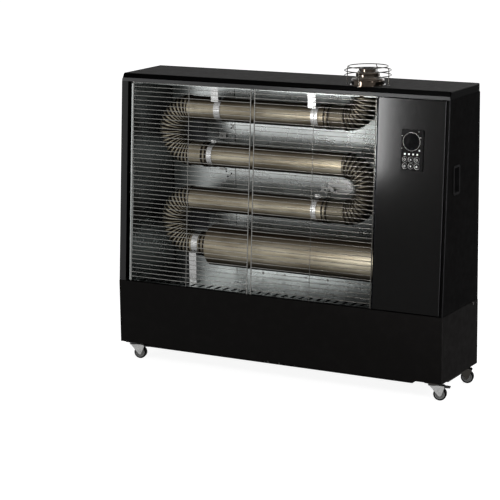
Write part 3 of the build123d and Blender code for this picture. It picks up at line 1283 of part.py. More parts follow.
MOTOR_X = HOUSING_X + BURNER_WIDTH
MOTOR_LENGTH = RIGHT - SHEET - MOTOR_FROM_WALL - MOTOR_X
with BuildPart() as burner_motor:
    rod(across(MOTOR_X, TUBE_Y, FAN_Z), MOTOR_RADIUS + MOTOR_FLANGE, MOTOR_FLANGE)
    rod(across(MOTOR_X, TUBE_Y, FAN_Z), MOTOR_RADIUS, MOTOR_LENGTH - MOTOR_FLANGE)
    rod(across(MOTOR_X, TUBE_Y, FAN_Z), MOTOR_RADIUS - MOTOR_FLANGE, MOTOR_LENGTH)
    with BuildSketch(across(MOTOR_X + MOTOR_GROOVE_FROM_END, TUBE_Y, FAN_Z)):
        with PolarLocations(MOTOR_RADIUS, MOTOR_FINS):
            Rectangle(*MOTOR_GROOVE)
    extrude(amount=MOTOR_LENGTH - 2 * MOTOR_GROOVE_FROM_END, mode=Mode.SUBTRACT)
    rod(across(HOUSING_X + SHAFT_SHORT, TUBE_Y, FAN_Z), SHAFT_RADIUS, BURNER_WIDTH - SHAFT_SHORT)
save(burner_motor, "burner_motor")

IMPELLER_X = HOUSING_X + (BURNER_WIDTH - IMPELLER_WIDTH) / 2
with BuildPart() as blower_wheel:
    plate_x = IMPELLER_X + IMPELLER_WIDTH - IMPELLER_SHEET
    rod(across(plate_x, TUBE_Y, FAN_Z), IMPELLER_RADIUS, IMPELLER_SHEET)
    ring_bore = IMPELLER_RADIUS - IMPELLER_RING
    rod(across(IMPELLER_X, TUBE_Y, FAN_Z), IMPELLER_RADIUS, IMPELLER_SHEET, bore=ring_bore)
    rod(across(IMPELLER_X + SHAFT_SHORT, TUBE_Y, FAN_Z), IMPELLER_HUB, IMPELLER_WIDTH - SHAFT_SHORT)
    with BuildSketch(across(IMPELLER_X, TUBE_Y, FAN_Z)):
        with PolarLocations(IMPELLER_RADIUS - BLADE_FROM_RIM, IMPELLER_BLADES):
            Rectangle(*BLADE_SIZE, rotation=BLADE_TURN)
    extrude(amount=IMPELLER_WIDTH)
    shaft_hole = across(IMPELLER_X - CUT, TUBE_Y, FAN_Z)
    rod(shaft_hole, SHAFT_RADIUS + SHAFT_FIT, IMPELLER_WIDTH + 2 * CUT, Mode.SUBTRACT)
save(blower_wheel, "blower_wheel")

# Ignition box on the partition and the flame sensor on the blast tube
with BuildPart() as ignition_set:
    box_y, box_z = BACK - IGNITION_FROM_BACK - IGNITION_SIZE[1], FAN_Z + IGNITION_ABOVE_FAN
    box_end = FLANGE_X + IGNITION_SIZE[0]
    block((FLANGE_X, box_y, box_z), (box_end, box_y + IGNITION_SIZE[1], box_z + IGNITION_SIZE[2]))
    fillet(ignition_set.edges().filter_by(Axis.X), IGNITION_CORNER)
    for side in (-1, 1):
        post_y = box_y + IGNITION_SIZE[1] / 2 + side * IGNITION_POST_PITCH / 2
        post = across(box_end, post_y, box_z + IGNITION_POST_HEIGHT)
        rod(post, IGNITION_POST_RADIUS, IGNITION_POST_LENGTH)
    seat = upright(FLANGE_X + FLAME_SENSOR_FROM_WALL, TUBE_Y, CHAMBER_Z + BLAST_TUBE_RADIUS)
    rod(seat, FLAME_SENSOR_RADIUS, FLAME_SENSOR_LENGTH)
save(ignition_set, "ignition_set")

# Fuel tank on the tray
TANK_LEFT = LEFT + TANK_FROM_LEFT
TANK_RIGHT = RIGHT - TANK_FROM_RIGHT
TANK_FRONT = FRONT + TANK_FROM_FRONT
TANK_BACK = BACK - TANK_FROM_BACK
TANK_Z = TRAY_FLOOR + SHEET + TANK_FOOT
TANK_TOP = POCKET_FLOOR - POCKET_ABOVE_TANK
OUTLET_X = TANK_RIGHT - FUEL_BOSS_FROM_END
NECK_TOP_Z = POCKET_FLOOR + NECK_HEIGHT
with BuildPart() as fuel_tank:
    block((TANK_LEFT, TANK_FRONT, TANK_Z), (TANK_RIGHT, TANK_BACK, TANK_TOP))
    fillet(fuel_tank.edges().filter_by(Axis.Z), TANK_CORNER)
    inside_top = TANK_TOP - TANK_WALL
    rod(upright(POCKET_X, NECK_Y, inside_top), NECK_RADIUS, NECK_TOP_Z - inside_top)
    block(
        (TANK_LEFT + TANK_WALL, TANK_FRONT + TANK_WALL, TANK_Z + TANK_WALL),
        (TANK_RIGHT - TANK_WALL, TANK_BACK - TANK_WALL, inside_top),
        Mode.SUBTRACT,
    )
    for x in (TANK_LEFT + TANK_FOOT_INSET, TANK_RIGHT - TANK_FOOT_INSET):
        for y in (TANK_FRONT + TANK_FOOT_INSET, TANK_BACK - TANK_FOOT_INSET):
            half = TANK_FOOT_SIZE / 2
            block((x - half, y - half, TANK_Z - TANK_FOOT), (x + half, y + half, TANK_Z + TANK_WALL / 2))
    neck_hole = upright(POCKET_X, NECK_Y, inside_top - CUT)
    rod(neck_hole, NECK_RADIUS - NECK_WALL, NECK_TOP_Z - inside_top + 2 * CUT, Mode.SUBTRACT)
    boss = upright(OUTLET_X, LINE_Y, TANK_TOP - TANK_WALL / 2)
    rod(boss, 2 * FUEL_LINE_RADIUS, FUEL_BOSS_HEIGHT + TANK_WALL / 2)
save(fuel_tank, "fuel_tank")

# Fuel cap that lifts off the filler neck
CAP_LOW = POCKET_FLOOR + CAP_ABOVE_FLOOR
with BuildPart() as fuel_cap:
    with BuildSketch(upright(POCKET_X, NECK_Y, CAP_LOW)):
        Circle(CAP_RADIUS)
        with PolarLocations(CAP_RADIUS + CAP_GROOVE_RADIUS / 2, CAP_GROOVES):
            Circle(CAP_GROOVE_RADIUS, mode=Mode.SUBTRACT)
    extrude(amount=CAP_HEIGHT)
    fillet(fuel_cap.faces().sort_by(Axis.Z)[-1].edges(), CAP_EDGE)
    seat = upright(POCKET_X, NECK_Y, CAP_LOW - CUT)
    rod(seat, NECK_RADIUS + CAP_FIT, NECK_TOP_Z + CAP_FIT - CAP_LOW + CUT, Mode.SUBTRACT)
save(fuel_cap, "fuel_cap")

# Fuel pump on the deck and the two fuel lines
PUMP_X = LINE_X + PUMP_FROM_LINE
PUMP_END_X = PUMP_X + PUMP_SIZE[0]
PORT_Z = DECK_TOP + PUMP_PORT_HEIGHT
with BuildPart() as fuel_pump:
    half = PUMP_SIZE[1] / 2
    block((PUMP_X, LINE_Y - half, DECK_TOP), (PUMP_END_X, LINE_Y + half, DECK_TOP + PUMP_SIZE[2]))
    fillet(fuel_pump.edges().filter_by(Axis.Z), PUMP_CORNER)
    rod(across(PUMP_END_X, LINE_Y, PORT_Z), PUMP_COIL_RADIUS, PUMP_COIL_LENGTH)
save(fuel_pump, "fuel_pump")


def pipe(points):
    """Round pipe along straight runs with bends of one radius."""
    with BuildLine() as route:
        FilletPolyline(*points, radius=FUEL_LINE_BEND)
    start = Plane(origin=route.line @ 0, z_dir=route.line % 0)
    with BuildSketch(start) as section:
        Circle(FUEL_LINE_RADIUS)
        Circle(FUEL_LINE_RADIUS - FUEL_LINE_WALL, mode=Mode.SUBTRACT)
    sweep(section.sketch, path=route.line)


with BuildPart() as fuel_lines:
    boss_top = TANK_TOP + FUEL_BOSS_HEIGHT
    pipe(
        [
            (OUTLET_X, LINE_Y, boss_top),
            (OUTLET_X, LINE_Y, TANK_TOP + FUEL_LINE_RISE),
            (LINE_X, LINE_Y, TANK_TOP + FUEL_LINE_RISE),
            (LINE_X, LINE_Y, PORT_Z),
            (PUMP_X, LINE_Y, PORT_Z),
        ]
    )
    nozzle_end = HOUSING_X + BURNER_WIDTH
    riser_x = (nozzle_end + PUMP_END_X) / 2 + FIT_GAP
    pipe(
        [
            (riser_x, LINE_Y, DECK_TOP + PUMP_SIZE[2]),
            (riser_x, LINE_Y, CHAMBER_Z),
            (riser_x, TUBE_Y, CHAMBER_Z),
            (nozzle_end, TUBE_Y, CHAMBER_Z),
        ]
    )
save(fuel_lines, "fuel_lines")

# Cable gland in the rear wall of the base
with BuildPart() as mains_gland:
    inside_y = BACK - SHEET - GLAND_INSIDE
    for start in (BACK, BACK - SHEET - GLAND_NUT_HEIGHT):
        with BuildSketch(rearward(INLET_X, start, INLET_Z)):
            RegularPolygon(GLAND_NUT, 6)
        extrude(amount=GLAND_NUT_HEIGHT)
    rod(rearward(INLET_X, inside_y, INLET_Z), GLAND_THREAD, GLAND_LENGTH)
    rod(rearward(INLET_X, inside_y - CUT, INLET_Z), GLAND_BORE, GLAND_LENGTH + 2 * CUT, Mode.SUBTRACT)
save(mains_gland, "mains_gland")

# Tilt switch on the tray and the overheat sensor on the back reflector
with BuildPart() as safety_switches:
    tilt_x, tilt_y, tilt_z = RIGHT - TILT_FROM_RIGHT, FRONT + TILT_FROM_FRONT, TRAY_FLOOR + SHEET
    block(
        (tilt_x, tilt_y, tilt_z),
        (tilt_x + TILT_SIZE[0], tilt_y + TILT_SIZE[1], tilt_z + TILT_SIZE[2]),
    )
    plate_x = CAVITY_RIGHT - HEAT_PLATE_FROM_BAY
    plate_z = TUBE_HEIGHTS[0] + HEAT_PLATE_ABOVE_TUBE
    with BuildSketch(Plane.XZ.offset(-REFLECTOR_Y)):
        with Locations((plate_x, plate_z)):
            Ellipse(*HEAT_PLATE)
    extrude(amount=HEAT_PLATE_SHEET)
    with BuildSketch(Plane.XZ.offset(-REFLECTOR_Y + HEAT_PLATE_SHEET)):
        with Locations((plate_x + HEAT_SENSOR_OFFSET[0], plate_z + HEAT_SENSOR_OFFSET[1])):
            Circle(HEAT_SENSOR_RADIUS)
    extrude(amount=HEAT_SENSOR_LENGTH)
save(safety_switches, "safety_switches")

# Casters: plates, forks, wheels and the brake pedals of the front pair
CASTERS = (
    ("front_left", LEFT + CASTER_FROM_SIDE, FRONT + CASTER_FROM_FRONT),
    ("front_right", RIGHT - CASTER_FROM_SIDE, FRONT + CASTER_FROM_FRONT),
    ("rear_left", LEFT + CASTER_FROM_SIDE, BACK - CASTER_FROM_BACK),
    ("rear_right", RIGHT - CASTER_FROM_SIDE, BACK - CASTER_FROM_BACK),
)
TURN = math.radians(CASTER_TURN)
PLATE_LOW = BASE_Z - CASTER_PLATE
CUP_LOW = PLATE_LOW - CASTER_BEARING
FORK_TOP = CUP_LOW - FIT_GAP
FORK_LOW = FORK_TOP - FORK_SHEET
KINGPIN_LOW = FORK_LOW - FIT_GAP
LEG_INSIDE = WHEEL_WIDTH / 2 + FORK_GAP
LEG_OUTSIDE = LEG_INSIDE + FORK_SHEET
PIVOT_ALONG = CASTER_TRAIL + PIVOT_BEHIND_AXLE
PIVOT_Z = 2 * WHEEL_RADIUS + PIVOT_ABOVE_WHEEL


def trail_plane(x, y, aside, along=0.0, height=0.0):
    """Plane that stands along a caster's trail, set aside from its stem."""
    plane = Plane(
        origin=(x - aside * math.sin(TURN), y + aside * math.cos(TURN), height),
        x_dir=(math.cos(TURN), math.sin(TURN), 0),
        z_dir=(math.sin(TURN), -math.cos(TURN), 0),
    )
    return moved(plane, along)


with BuildPart() as caster_plates:
    for name, x, y in CASTERS:
        half = CASTER_PLATE_SIZE / 2
        block((x - half, y - half, PLATE_LOW), (x + half, y + half, BASE_Z))
        rod(upright(x, y, CUP_LOW), CASTER_CUP_RADIUS, CASTER_BEARING)
        rod(upright(x, y, KINGPIN_LOW), KINGPIN_RADIUS, CUP_LOW - KINGPIN_LOW)
        rod(upright(x, y, KINGPIN_LOW), KINGPIN_HEAD, -KINGPIN_HEAD_HEIGHT)
save(caster_plates, "caster_plates")


def make_fork(name, x, y, braked):
    """Swivelling fork with its axle, and the pedal's pivot pin on a braked one."""
    with BuildPart() as fork:
        for aside in (-LEG_INSIDE, LEG_OUTSIDE):
            with BuildSketch(trail_plane(x, y, aside)):
                with Locations((CASTER_TRAIL, WHEEL_RADIUS)):
                    Circle(FORK_EYE_RADIUS)
                with Locations((PIVOT_ALONG, PIVOT_Z)):
                    Circle(PEDAL_EAR)
                with Locations((FORK_TOP_OFFSET, FORK_TOP - FORK_SHEET / 2)):
                    Rectangle(FORK_TOP_LENGTH, FORK_SHEET)
                make_hull()
            extrude(amount=FORK_SHEET)
        crown = Plane(origin=(x, y, FORK_LOW), x_dir=(math.cos(TURN), math.sin(TURN), 0), z_dir=(0, 0, 1))
        with BuildSketch(crown):
            Circle(FORK_TOP_RADIUS)
            with Locations((FORK_TOP_OFFSET, 0)):
                Rectangle(FORK_TOP_LENGTH, 2 * LEG_OUTSIDE)
            Circle(KINGPIN_RADIUS + AXLE_FIT, mode=Mode.SUBTRACT)
        extrude(amount=FORK_SHEET)
        axle = trail_plane(x, y, LEG_OUTSIDE, CASTER_TRAIL, WHEEL_RADIUS)
        rod(axle, AXLE_RADIUS, 2 * LEG_OUTSIDE)
        rod(axle, AXLE_HEAD_RADIUS, -AXLE_HEAD)
        rod(axle.offset(2 * LEG_OUTSIDE), AXLE_HEAD_RADIUS, AXLE_HEAD)
        if braked:
            rod(trail_plane(x, y, LEG_OUTSIDE, PIVOT_ALONG, PIVOT_Z), PIVOT_RADIUS, 2 * LEG_OUTSIDE)
    save(fork, f"caster_fork_{name}")


def make_wheel(name, x, y):
    """Wheel of a moulded hub and a tyre."""
    face = trail_plane(x, y, WHEEL_WIDTH / 2, CASTER_TRAIL, WHEEL_RADIUS)
    hub_radius = WHEEL_RADIUS - TYRE_THICKNESS
    with BuildPart() as hub:
        rod(face, hub_radius, WHEEL_WIDTH, bore=AXLE_RADIUS + AXLE_FIT)
        for start, depth in ((0.0, HUB_RECESS), (WHEEL_WIDTH, -HUB_RECESS)):
            rod(face.offset(start), hub_radius - HUB_RIM, depth, Mode.SUBTRACT, bore=HUB_BOSS_RADIUS)
    with BuildPart() as tyre:
        rod(face, WHEEL_RADIUS, WHEEL_WIDTH, bore=hub_radius)
        fillet(tyre.edges().filter_by(GeomType.CIRCLE).group_by(SortBy.RADIUS)[-1], TYRE_EDGE)
    save_apart((hub, tyre), f"caster_wheel_{name}")


def make_pedal(name, x, y):
    """Brake pedal on its pivot barrel."""
    with BuildPart() as pedal:
        half_barrel = LEG_INSIDE - FIT_GAP
        barrel = trail_plane(x, y, half_barrel, PIVOT_ALONG, PIVOT_Z)
        rod(barrel, PEDAL_BARREL, 2 * half_barrel)
        with BuildSketch(trail_plane(x, y, PEDAL_WIDTH / 2, PIVOT_ALONG, PIVOT_Z)):
            with BuildLine():
                Polyline(
                    (0, PEDAL_BARREL),
                    (PEDAL_REACH, PEDAL_TIP_HEIGHT),
                    (PEDAL_REACH, PEDAL_TIP_HEIGHT - PEDAL_THICK),
                    (0, PEDAL_BARREL - PEDAL_ROOT_THICK),
                    close=True,
                )
            make_face()
        extrude(amount=PEDAL_WIDTH)
        rod(barrel, PIVOT_RADIUS + AXLE_FIT, 2 * half_barrel, Mode.SUBTRACT)
    save(pedal, f"brake_pedal_{name}")


for name, x, y in CASTERS:
    braked = name.startswith("front")
    make_fork(name, x, y, braked)
    make_wheel(name, x, y)
    if braked:
        make_pedal(name, x, y)


# Screws of the case and the front rail
def screw(plane):
    """Pan head screw whose head sits on a plane and whose shank goes in behind it."""
    slot_length, slot_width, slot_depth = SCREW_SLOT
    with BuildPart() as one:
        rod(plane, SCREW_HEAD, SCREW_HEAD_HEIGHT)
        top = one.faces().sort_by(Axis(plane.origin, plane.z_dir))[-1]
        fillet(top.edges(), 0.8 * SCREW_HEAD_HEIGHT)
        rod(plane, SCREW_SHANK, -SCREW_LENGTH)
        with BuildSketch(plane.offset(SCREW_HEAD_HEIGHT)) as cross:
            Rectangle(slot_length, slot_width)
            Rectangle(slot_width, slot_length)
        extrude(cross.sketch, amount=-slot_depth, mode=Mode.SUBTRACT)
    return one.part


with BuildPart() as case_screws:
    for side in (-1, 1):
        wall = side * CASE_WIDTH / 2
        add(screw(Plane(origin=(wall, SIDE_SCREW_Y, SIDE_SCREW_Z), x_dir=(0, 1, 0), z_dir=(side, 0, 0))))
        for height in BACK_SCREW_ZS:
            add(screw(rearward(side * BACK_SCREW_X, BACK, height)))
    for x in RAIL_SCREW_XS:
        seat = Plane(origin=(x, FRONT_RAIL_Y, BASE_Z - RAIL_DROP / 2), x_dir=(1, 0, 0), z_dir=(0, -1, 0))
        add(screw(seat))
save(case_screws, "case_screws")
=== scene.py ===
import json
import math

import bmesh
import bpy
from mathutils import Matrix, Vector


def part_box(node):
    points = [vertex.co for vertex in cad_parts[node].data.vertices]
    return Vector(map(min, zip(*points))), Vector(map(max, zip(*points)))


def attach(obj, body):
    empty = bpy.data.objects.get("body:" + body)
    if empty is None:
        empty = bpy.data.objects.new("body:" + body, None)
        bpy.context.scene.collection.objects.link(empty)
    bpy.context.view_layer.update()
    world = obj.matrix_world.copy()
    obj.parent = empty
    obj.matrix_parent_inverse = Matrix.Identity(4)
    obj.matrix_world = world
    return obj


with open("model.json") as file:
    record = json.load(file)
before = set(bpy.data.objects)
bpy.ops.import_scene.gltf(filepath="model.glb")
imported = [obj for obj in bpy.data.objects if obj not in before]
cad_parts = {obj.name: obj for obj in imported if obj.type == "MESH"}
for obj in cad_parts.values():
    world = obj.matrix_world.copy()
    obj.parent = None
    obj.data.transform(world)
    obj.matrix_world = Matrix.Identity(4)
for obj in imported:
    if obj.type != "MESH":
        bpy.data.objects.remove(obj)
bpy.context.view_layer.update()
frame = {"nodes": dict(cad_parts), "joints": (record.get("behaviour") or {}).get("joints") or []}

# Looks of a mobile infrared heater: finishes, small visible pieces, camera and light.
# Every length is in metres, in the frame of the loaded model.
NODES = frame["nodes"]
JOINTS = {joint["name"]: joint for joint in frame["joints"]}
SIDES = ("front_left", "front_right", "rear_left", "rear_right")
KEYS = ("power", "up", "timer", "mode", "down", "lock")

# Camera fitted to the photograph
VIEW_TURN = math.radians(29.42)
VIEW_RISE = math.radians(12.28)
VIEW_ROLL = math.radians(-0.74)
VIEW_DISTANCE = 6.132
VIEW_LENS = 139.4
SENSOR_WIDTH = 36.0
AIM_CENTRE = Vector((0.0, 0.064, 0.507))
AIM_RIGHT = -0.1691
AIM_UP = -0.1259
CLIP_END = 200.0

# Colours of the case
PAINT_BLACK = (0.0046, 0.0041, 0.0039)
PAINT_DOOR = (0.0020, 0.0019, 0.0018)
# Darker copy of the case's black, as painted shade on the right side; the deck and small dark marks share it
PAINT_SIDE = (0.0014, 0.0013, 0.0013)
PAINT_LEFT = (0.009, 0.0087, 0.0084)
PAINT_BACK = (0.008, 0.0077, 0.0074)
LID_TOP = (0.028, 0.0275, 0.0271)
LID_BEVEL = (0.0015, 0.0015, 0.0015)
# Grey of the lid's lip, lighter at its left end as a painted highlight
LID_LIP = (0.14, 0.14, 0.142)
LID_LIP_RIGHT = (0.036, 0.036, 0.0365)
# Painted highlight on the front face of the left side
EDGE_HIGHLIGHT = (0.052, 0.052, 0.053)
# Painted highlight on the rounded folds at the right of the door and the right side
FOLD_HIGHLIGHT = (0.022, 0.022, 0.023)

# Colours of the heat chamber
REFLECTOR_BRIGHT = (0.45, 0.472, 0.465)
# Painted shade on the reflector; the black after it is painted shade behind the left bends and also the tone
# of the right front strip
REFLECTOR_SHADE = (0.045, 0.049, 0.0475)
SHADE_AND_STRIP_BLACK = (0.008, 0.008, 0.009)
TUBE_LIGHT = (0.4, 0.367, 0.284)
TUBE_DARK = (0.15, 0.129, 0.09)
TUBE_BROWN = (0.06, 0.044, 0.028)
# Painted shade above and below the tubes' axis, then the beads' soot, which is also painted shade on the
# bends
TUBE_EDGE_SHADE = (0.034, 0.022, 0.014)
TUBE_SOOT_AND_SHADE = (0.01, 0.008, 0.006)
STEEL_BROWN = (0.045, 0.036, 0.029)
WIRE_GREY = (0.17, 0.168, 0.16)
# Painted shade of the wires towards the right
WIRE_SHADE_TONE = (0.034, 0.031, 0.027)
CAGE_GREY = (0.035, 0.034, 0.033)
ZINC_GREY = (0.34, 0.34, 0.336)
CLIP_GREYS = ((0.5, 0.5, 0.49), (0.68, 0.68, 0.66))

# Colours of the controls, the burner and the casters
KEY_BLACK = (0.002, 0.002, 0.0022)
FACE_BLACK = (0.0012, 0.0012, 0.0012)
GLASS_TONES = ((0.0008, 0.0008, 0.001), (0.002, 0.002, 0.0025))
LAMP_PALE = (0.62, 0.6, 0.55)
PRINT_GREY = (0.3, 0.3, 0.288)
PLASTIC_BLACK = (0.012, 0.012, 0.0125)
PEDAL_BLACK = (0.012, 0.012, 0.012)
CAP_BLACK = (0.016, 0.016, 0.017)
TANK_BLACK = (0.02, 0.02, 0.021)
ENAMEL_RED = (0.3, 0.03, 0.02)
PLATED_GREY = (0.62, 0.62, 0.61)
ALLOY_GREYS = ((0.4, 0.41, 0.42), (0.58, 0.59, 0.6))
COPPER = (0.74, 0.4, 0.26)
COPPER_STAIN = (0.3, 0.14, 0.08)
BOARD_GREENS = ((0.02, 0.13, 0.05), (0.015, 0.1, 0.04), (0.04, 0.2, 0.08))
# Dark steel of the plates and screws, which on the rear forks is painted shade
FORK_BLACK = (0.03, 0.03, 0.031)
TYRE_TONES = ((0.0025, 0.0025, 0.0025), (0.009, 0.009, 0.0085))
HUB_GREYS = ((0.3, 0.3, 0.295), (0.42, 0.42, 0.41))
WHITE = (1.0, 1.0, 1.0)
WHITE_FLOOR = (0.4, 0.4, 0.4)

# Roughness of the lid, from its top down
LID_TOP_ROUGH = 0.6
LID_BEVEL_ROUGH = 0.2
LID_LIP_ROUGH = 0.45

# Levels of a noise between which a tone or a roughness changes
NOISE_SPAN = (0.3, 0.7)
STREAK_SPAN = (0.35, 0.7)
SCUFF_SPAN = (0.24, 0.42)

# Depths of the reliefs
PEEL_DEPTH = 0.00006
GRAIN_DEPTH = 0.00004
STREAK_DEPTH = 0.00002
DRAWN_DEPTH = 0.00004
PLATING_DEPTH = 0.00003
TURNING_DEPTH = 0.00001
CAST_DEPTH = 0.0002
BOARD_DEPTH = 0.00003
RUBBER_DEPTH = 0.00008

# Turning rings of the outlet, in radians per metre
TURNING_RATE = 9000.0

# Sizes that tell the zones of a finish apart
LIP_SHARE = 0.42
LIP_DEPTH = 0.003
TOP_SKIN = 0.0004
EDGE_DEPTH = 0.004
FOLD_DEPTH = 0.003
FOLD_WIDTH = 0.0022
TUBE_RADIUS = 0.038
CHAMBER_RADIUS = 0.065
BEND_RADIUS = 0.073
NECK_LENGTH = 0.0575
BEAD_RISE = (0.0005, 0.0015)
CREST_RISE = (0.0016, 0.003)
HUB_RADIUS = 0.015
HUB_EDGE = 0.0002
WINDOW_REACH = 0.0275
DISPLAY_ABOVE_KEYS = 0.0535

# Painted shade on the reflector: near its left edge, towards its right end and behind the left bends.
# The reach at the left is measured from that edge, the others are in the model's frame.
WALL_MARGIN = 0.001
WALL_SHADE = 0.5
LEFT_REACH = (0.02, 0.2)
LEFT_SHADE = 0.97
RIGHT_END_REACH = (0.02, 0.22)
RIGHT_END_SHADE = 0.9
BEND_HEIGHTS = (0.461, 0.753)
BEND_SHADE = 0.97
BEND_SHADE_START = (-0.5, -0.46)
BEND_SHADE_END = (-0.37, -0.335)
BEND_SHADE_ASIDE = (0.055, 0.075)
STRIP_WIDTH = 0.009

# Painted shade on the steel: the bends as a whole, tubes above and below their axis, wires along x
LEFT_BEND_SHADE = 0.8
RIGHT_BEND_SHADE = 0.25
EDGE_SHADE_SHARES = (0.15, 0.85)
EDGE_SHADE = 0.95
WIRE_SHADE_REACH = (-0.05, 0.2)
WIRE_SHADE_SHARE = 0.8

FACE_NORMAL = -Vector(JOINTS["button_power_press"]["axis"]).normalized()
FACE_RIGHT = Vector((1.0, 0.0, 0.0))
FACE_UP = FACE_NORMAL.cross(FACE_RIGHT)


def middle(node):
    """Centre of a node's box."""
    low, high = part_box(node)
    return (low + high) / 2


def face_level(node):
    """How far a node reaches along the front panel's outward normal."""
    return max(vertex.co.dot(FACE_NORMAL) for vertex in NODES[node].data.vertices)


def on_face(point, level):
    """A point moved along the front panel's normal to a level."""
    return point + FACE_NORMAL * (level - point.dot(FACE_NORMAL))


DISPLAY_CENTRE = middle("button_up") + FACE_UP * DISPLAY_ABOVE_KEYS


def make_camera():
    """Camera at the photograph's place, aimed beside the object's middle."""
    back = Vector((
        math.sin(VIEW_TURN) * math.cos(VIEW_RISE),
        -math.cos(VIEW_TURN) * math.cos(VIEW_RISE),
        math.sin(VIEW_RISE),
    ))
    level_right = Vector((math.cos(VIEW_TURN), math.sin(VIEW_TURN), 0.0))
    level_up = back.cross(level_right)
    right = level_right * math.cos(VIEW_ROLL) + level_up * math.sin(VIEW_ROLL)
    up = level_up * math.cos(VIEW_ROLL) - level_right * math.sin(VIEW_ROLL)
    aim = AIM_CENTRE + level_right * AIM_RIGHT + level_up * AIM_UP
    data = bpy.data.cameras.new("camera")
    data.lens = VIEW_LENS
    data.sensor_width = SENSOR_WIDTH
    data.clip_end = CLIP_END
    camera = bpy.data.objects.new("camera", data)
    turn = Matrix((right, up, back)).transposed().to_4x4()
    camera.matrix_world = Matrix.Translation(aim + back * VIEW_DISTANCE) @ turn
    bpy.context.scene.collection.objects.link(camera)
    bpy.context.scene.camera = camera


# Inputs and output of the mix node, by their place
MIX_NUMBERS = (2, 3)
MIX_COLOURS = (6, 7)
MIX_COLOUR_OUT = 2


# Material building blocks
class Finish:
    """One material, with short calls for the nodes that feed its shader."""

    def __init__(self, name, colour, rough, metal=0.0, specular=0.5):
        self.material = bpy.data.materials.new(name)
        self.material.use_nodes = True
        self.tree = self.material.node_tree
        self.shader = self.tree.nodes["Principled BSDF"]
        self.set("Base Color", (*colour, 1.0))
        self.set("Roughness", rough)
        self.set("Metallic", metal)
        self.set("Specular IOR Level", specular)

    def set(self, socket, value):
        """Set an input of the shader."""
        self.shader.inputs[socket].default_value = value

    def feed(self, socket, source):
        """Link an input of the shader, in place of what fed it."""
        self.tree.links.new(source, self.shader.inputs[socket])

    def fed(self, socket):
        """What feeds a socket of the shader so far."""
        return self.shader.inputs[socket].links[0].from_socket

    def plug(self, socket, value):
        """Link or set one input of a node."""
        if isinstance(value, bpy.types.NodeSocket):
            self.tree.links.new(value, socket)
        elif socket.type == "RGBA":
            socket.default_value = (*value, 1.0)
        else:
            socket.default_value = value

    def node(self, kind, *values, **settings):
        """A node with its settings and its first inputs."""
        made = self.tree.nodes.new(kind)
        for key, value in settings.items():
            setattr(made, key, value)
        for socket, value in zip(made.inputs, values):
            self.plug(socket, value)
        return made

    def place(self):
        """Position in the model's frame."""
        return self.node("ShaderNodeTexCoord").outputs["Object"]

    def stretched(self, x, y, z):
        """Position with each axis scaled."""
        mapping = self.node("ShaderNodeMapping", self.place())
        mapping.inputs["Scale"].default_value = (x, y, z)
        return mapping.outputs["Vector"]

    def noise(self, scale, detail=3.0, rough=0.5, vector=None):
        """Soft random pattern between 0 and 1."""
        made = self.node("ShaderNodeTexNoise", vector or self.place())
        made.inputs["Scale"].default_value = scale
        made.inputs["Detail"].default_value = detail
        made.inputs["Roughness"].default_value = rough
        return made.outputs[0]

    def cells(self, scale):
        """Random grey of each cell of a broken pattern."""
        made = self.node("ShaderNodeTexVoronoi", self.place())
        made.inputs["Scale"].default_value = scale
        return self.node("ShaderNodeRGBToBW", made.outputs["Color"]).outputs[0]

    def range(self, value, low, high, to_low=0.0, to_high=1.0):
        """Value between two levels turned into another range, held at its ends."""
        return self.node("ShaderNodeMapRange", value, low, high, to_low, to_high).outputs[0]

    def math(self, operation, first, second=0.0):
        """Result of an operation on two numbers."""
        return self.node("ShaderNodeMath", first, second, operation=operation).outputs[0]

    def least(self, values):
        """The smallest of some numbers."""
        smallest = values[0]
        for value in values[1:]:
            smallest = self.math("MINIMUM", smallest, value)
        return smallest

    def vector(self, operation, first, second=(0.0, 0.0, 0.0)):
        """Result of an operation on two vectors, which for some is a number."""
        made = self.node("ShaderNodeVectorMath", first, second, operation=operation)
        return made.outputs["Value" if operation in ("LENGTH", "DOT_PRODUCT") else "Vector"]

    def mix(self, factor, first, second):
        """Colour between two colours."""
        made = self.node("ShaderNodeMix", factor, data_type="RGBA")
        for index, value in zip(MIX_COLOURS, (first, second)):
            self.plug(made.inputs[index], value)
        return made.outputs[MIX_COLOUR_OUT]

    def blend(self, factor, first, second):
        """Number between two numbers."""
        made = self.node("ShaderNodeMix", factor, data_type="FLOAT")
        for index, value in zip(MIX_NUMBERS, (first, second)):
            self.plug(made.inputs[index], value)
        return made.outputs[0]

    def axis(self, name):
        """One coordinate of the position."""
        return self.node("ShaderNodeSeparateXYZ", self.place()).outputs[name]

    def off_height(self, height):
        """How far above or below a height."""
        return self.math("ABSOLUTE", self.math("SUBTRACT", self.axis("Z"), height))

    def relief(self, height, distance, strength=1.0):
        """Bump from a height between 0 and 1, as deep as the distance."""
        made = self.node("ShaderNodeBump")
        made.inputs["Strength"].default_value = strength
        made.inputs["Distance"].default_value = distance
        self.plug(made.inputs["Height"], height)
        self.feed("Normal", made.outputs["Normal"])

    def from_line(self, point, direction):
        """Distance from a straight line."""
        offset = self.vector("SUBTRACT", self.place(), tuple(point))
        return self.vector("LENGTH", self.vector("CROSS_PRODUCT", offset, tuple(direction)))

    def from_ring(self, centre, radius):
        """Distance from a ring that stands in the plane of x and z."""
        offset = self.vector("SUBTRACT", self.place(), tuple(centre))
        flat = self.vector("LENGTH", self.vector("MULTIPLY", offset, (1.0, 0.0, 1.0)))
        aside = self.vector("DOT_PRODUCT", offset, (0.0, 1.0, 0.0))
        inward = self.math("SUBTRACT", flat, radius)
        squares = self.math("ADD", self.math("POWER", inward, 2.0), self.math("POWER", aside, 2.0))
        return self.math("SQRT", squares)


def lighter(colour, times, more):
    """A colour scaled and lifted, no brighter than white."""
    return tuple(min(1.0, times * value + more) for value in colour)


def scuffed(finish, colour, worn, amount, scale=40.0):
    """Fine scuffs of a second tone over a colour."""
    fine = finish.noise(scale * 9, detail=4.0, rough=0.7)
    both = finish.math("MULTIPLY", fine, finish.noise(scale, detail=2.0))
    finish.feed("Base Color", finish.mix(finish.range(both, *SCUFF_SPAN, 0.0, amount), colour, worn))


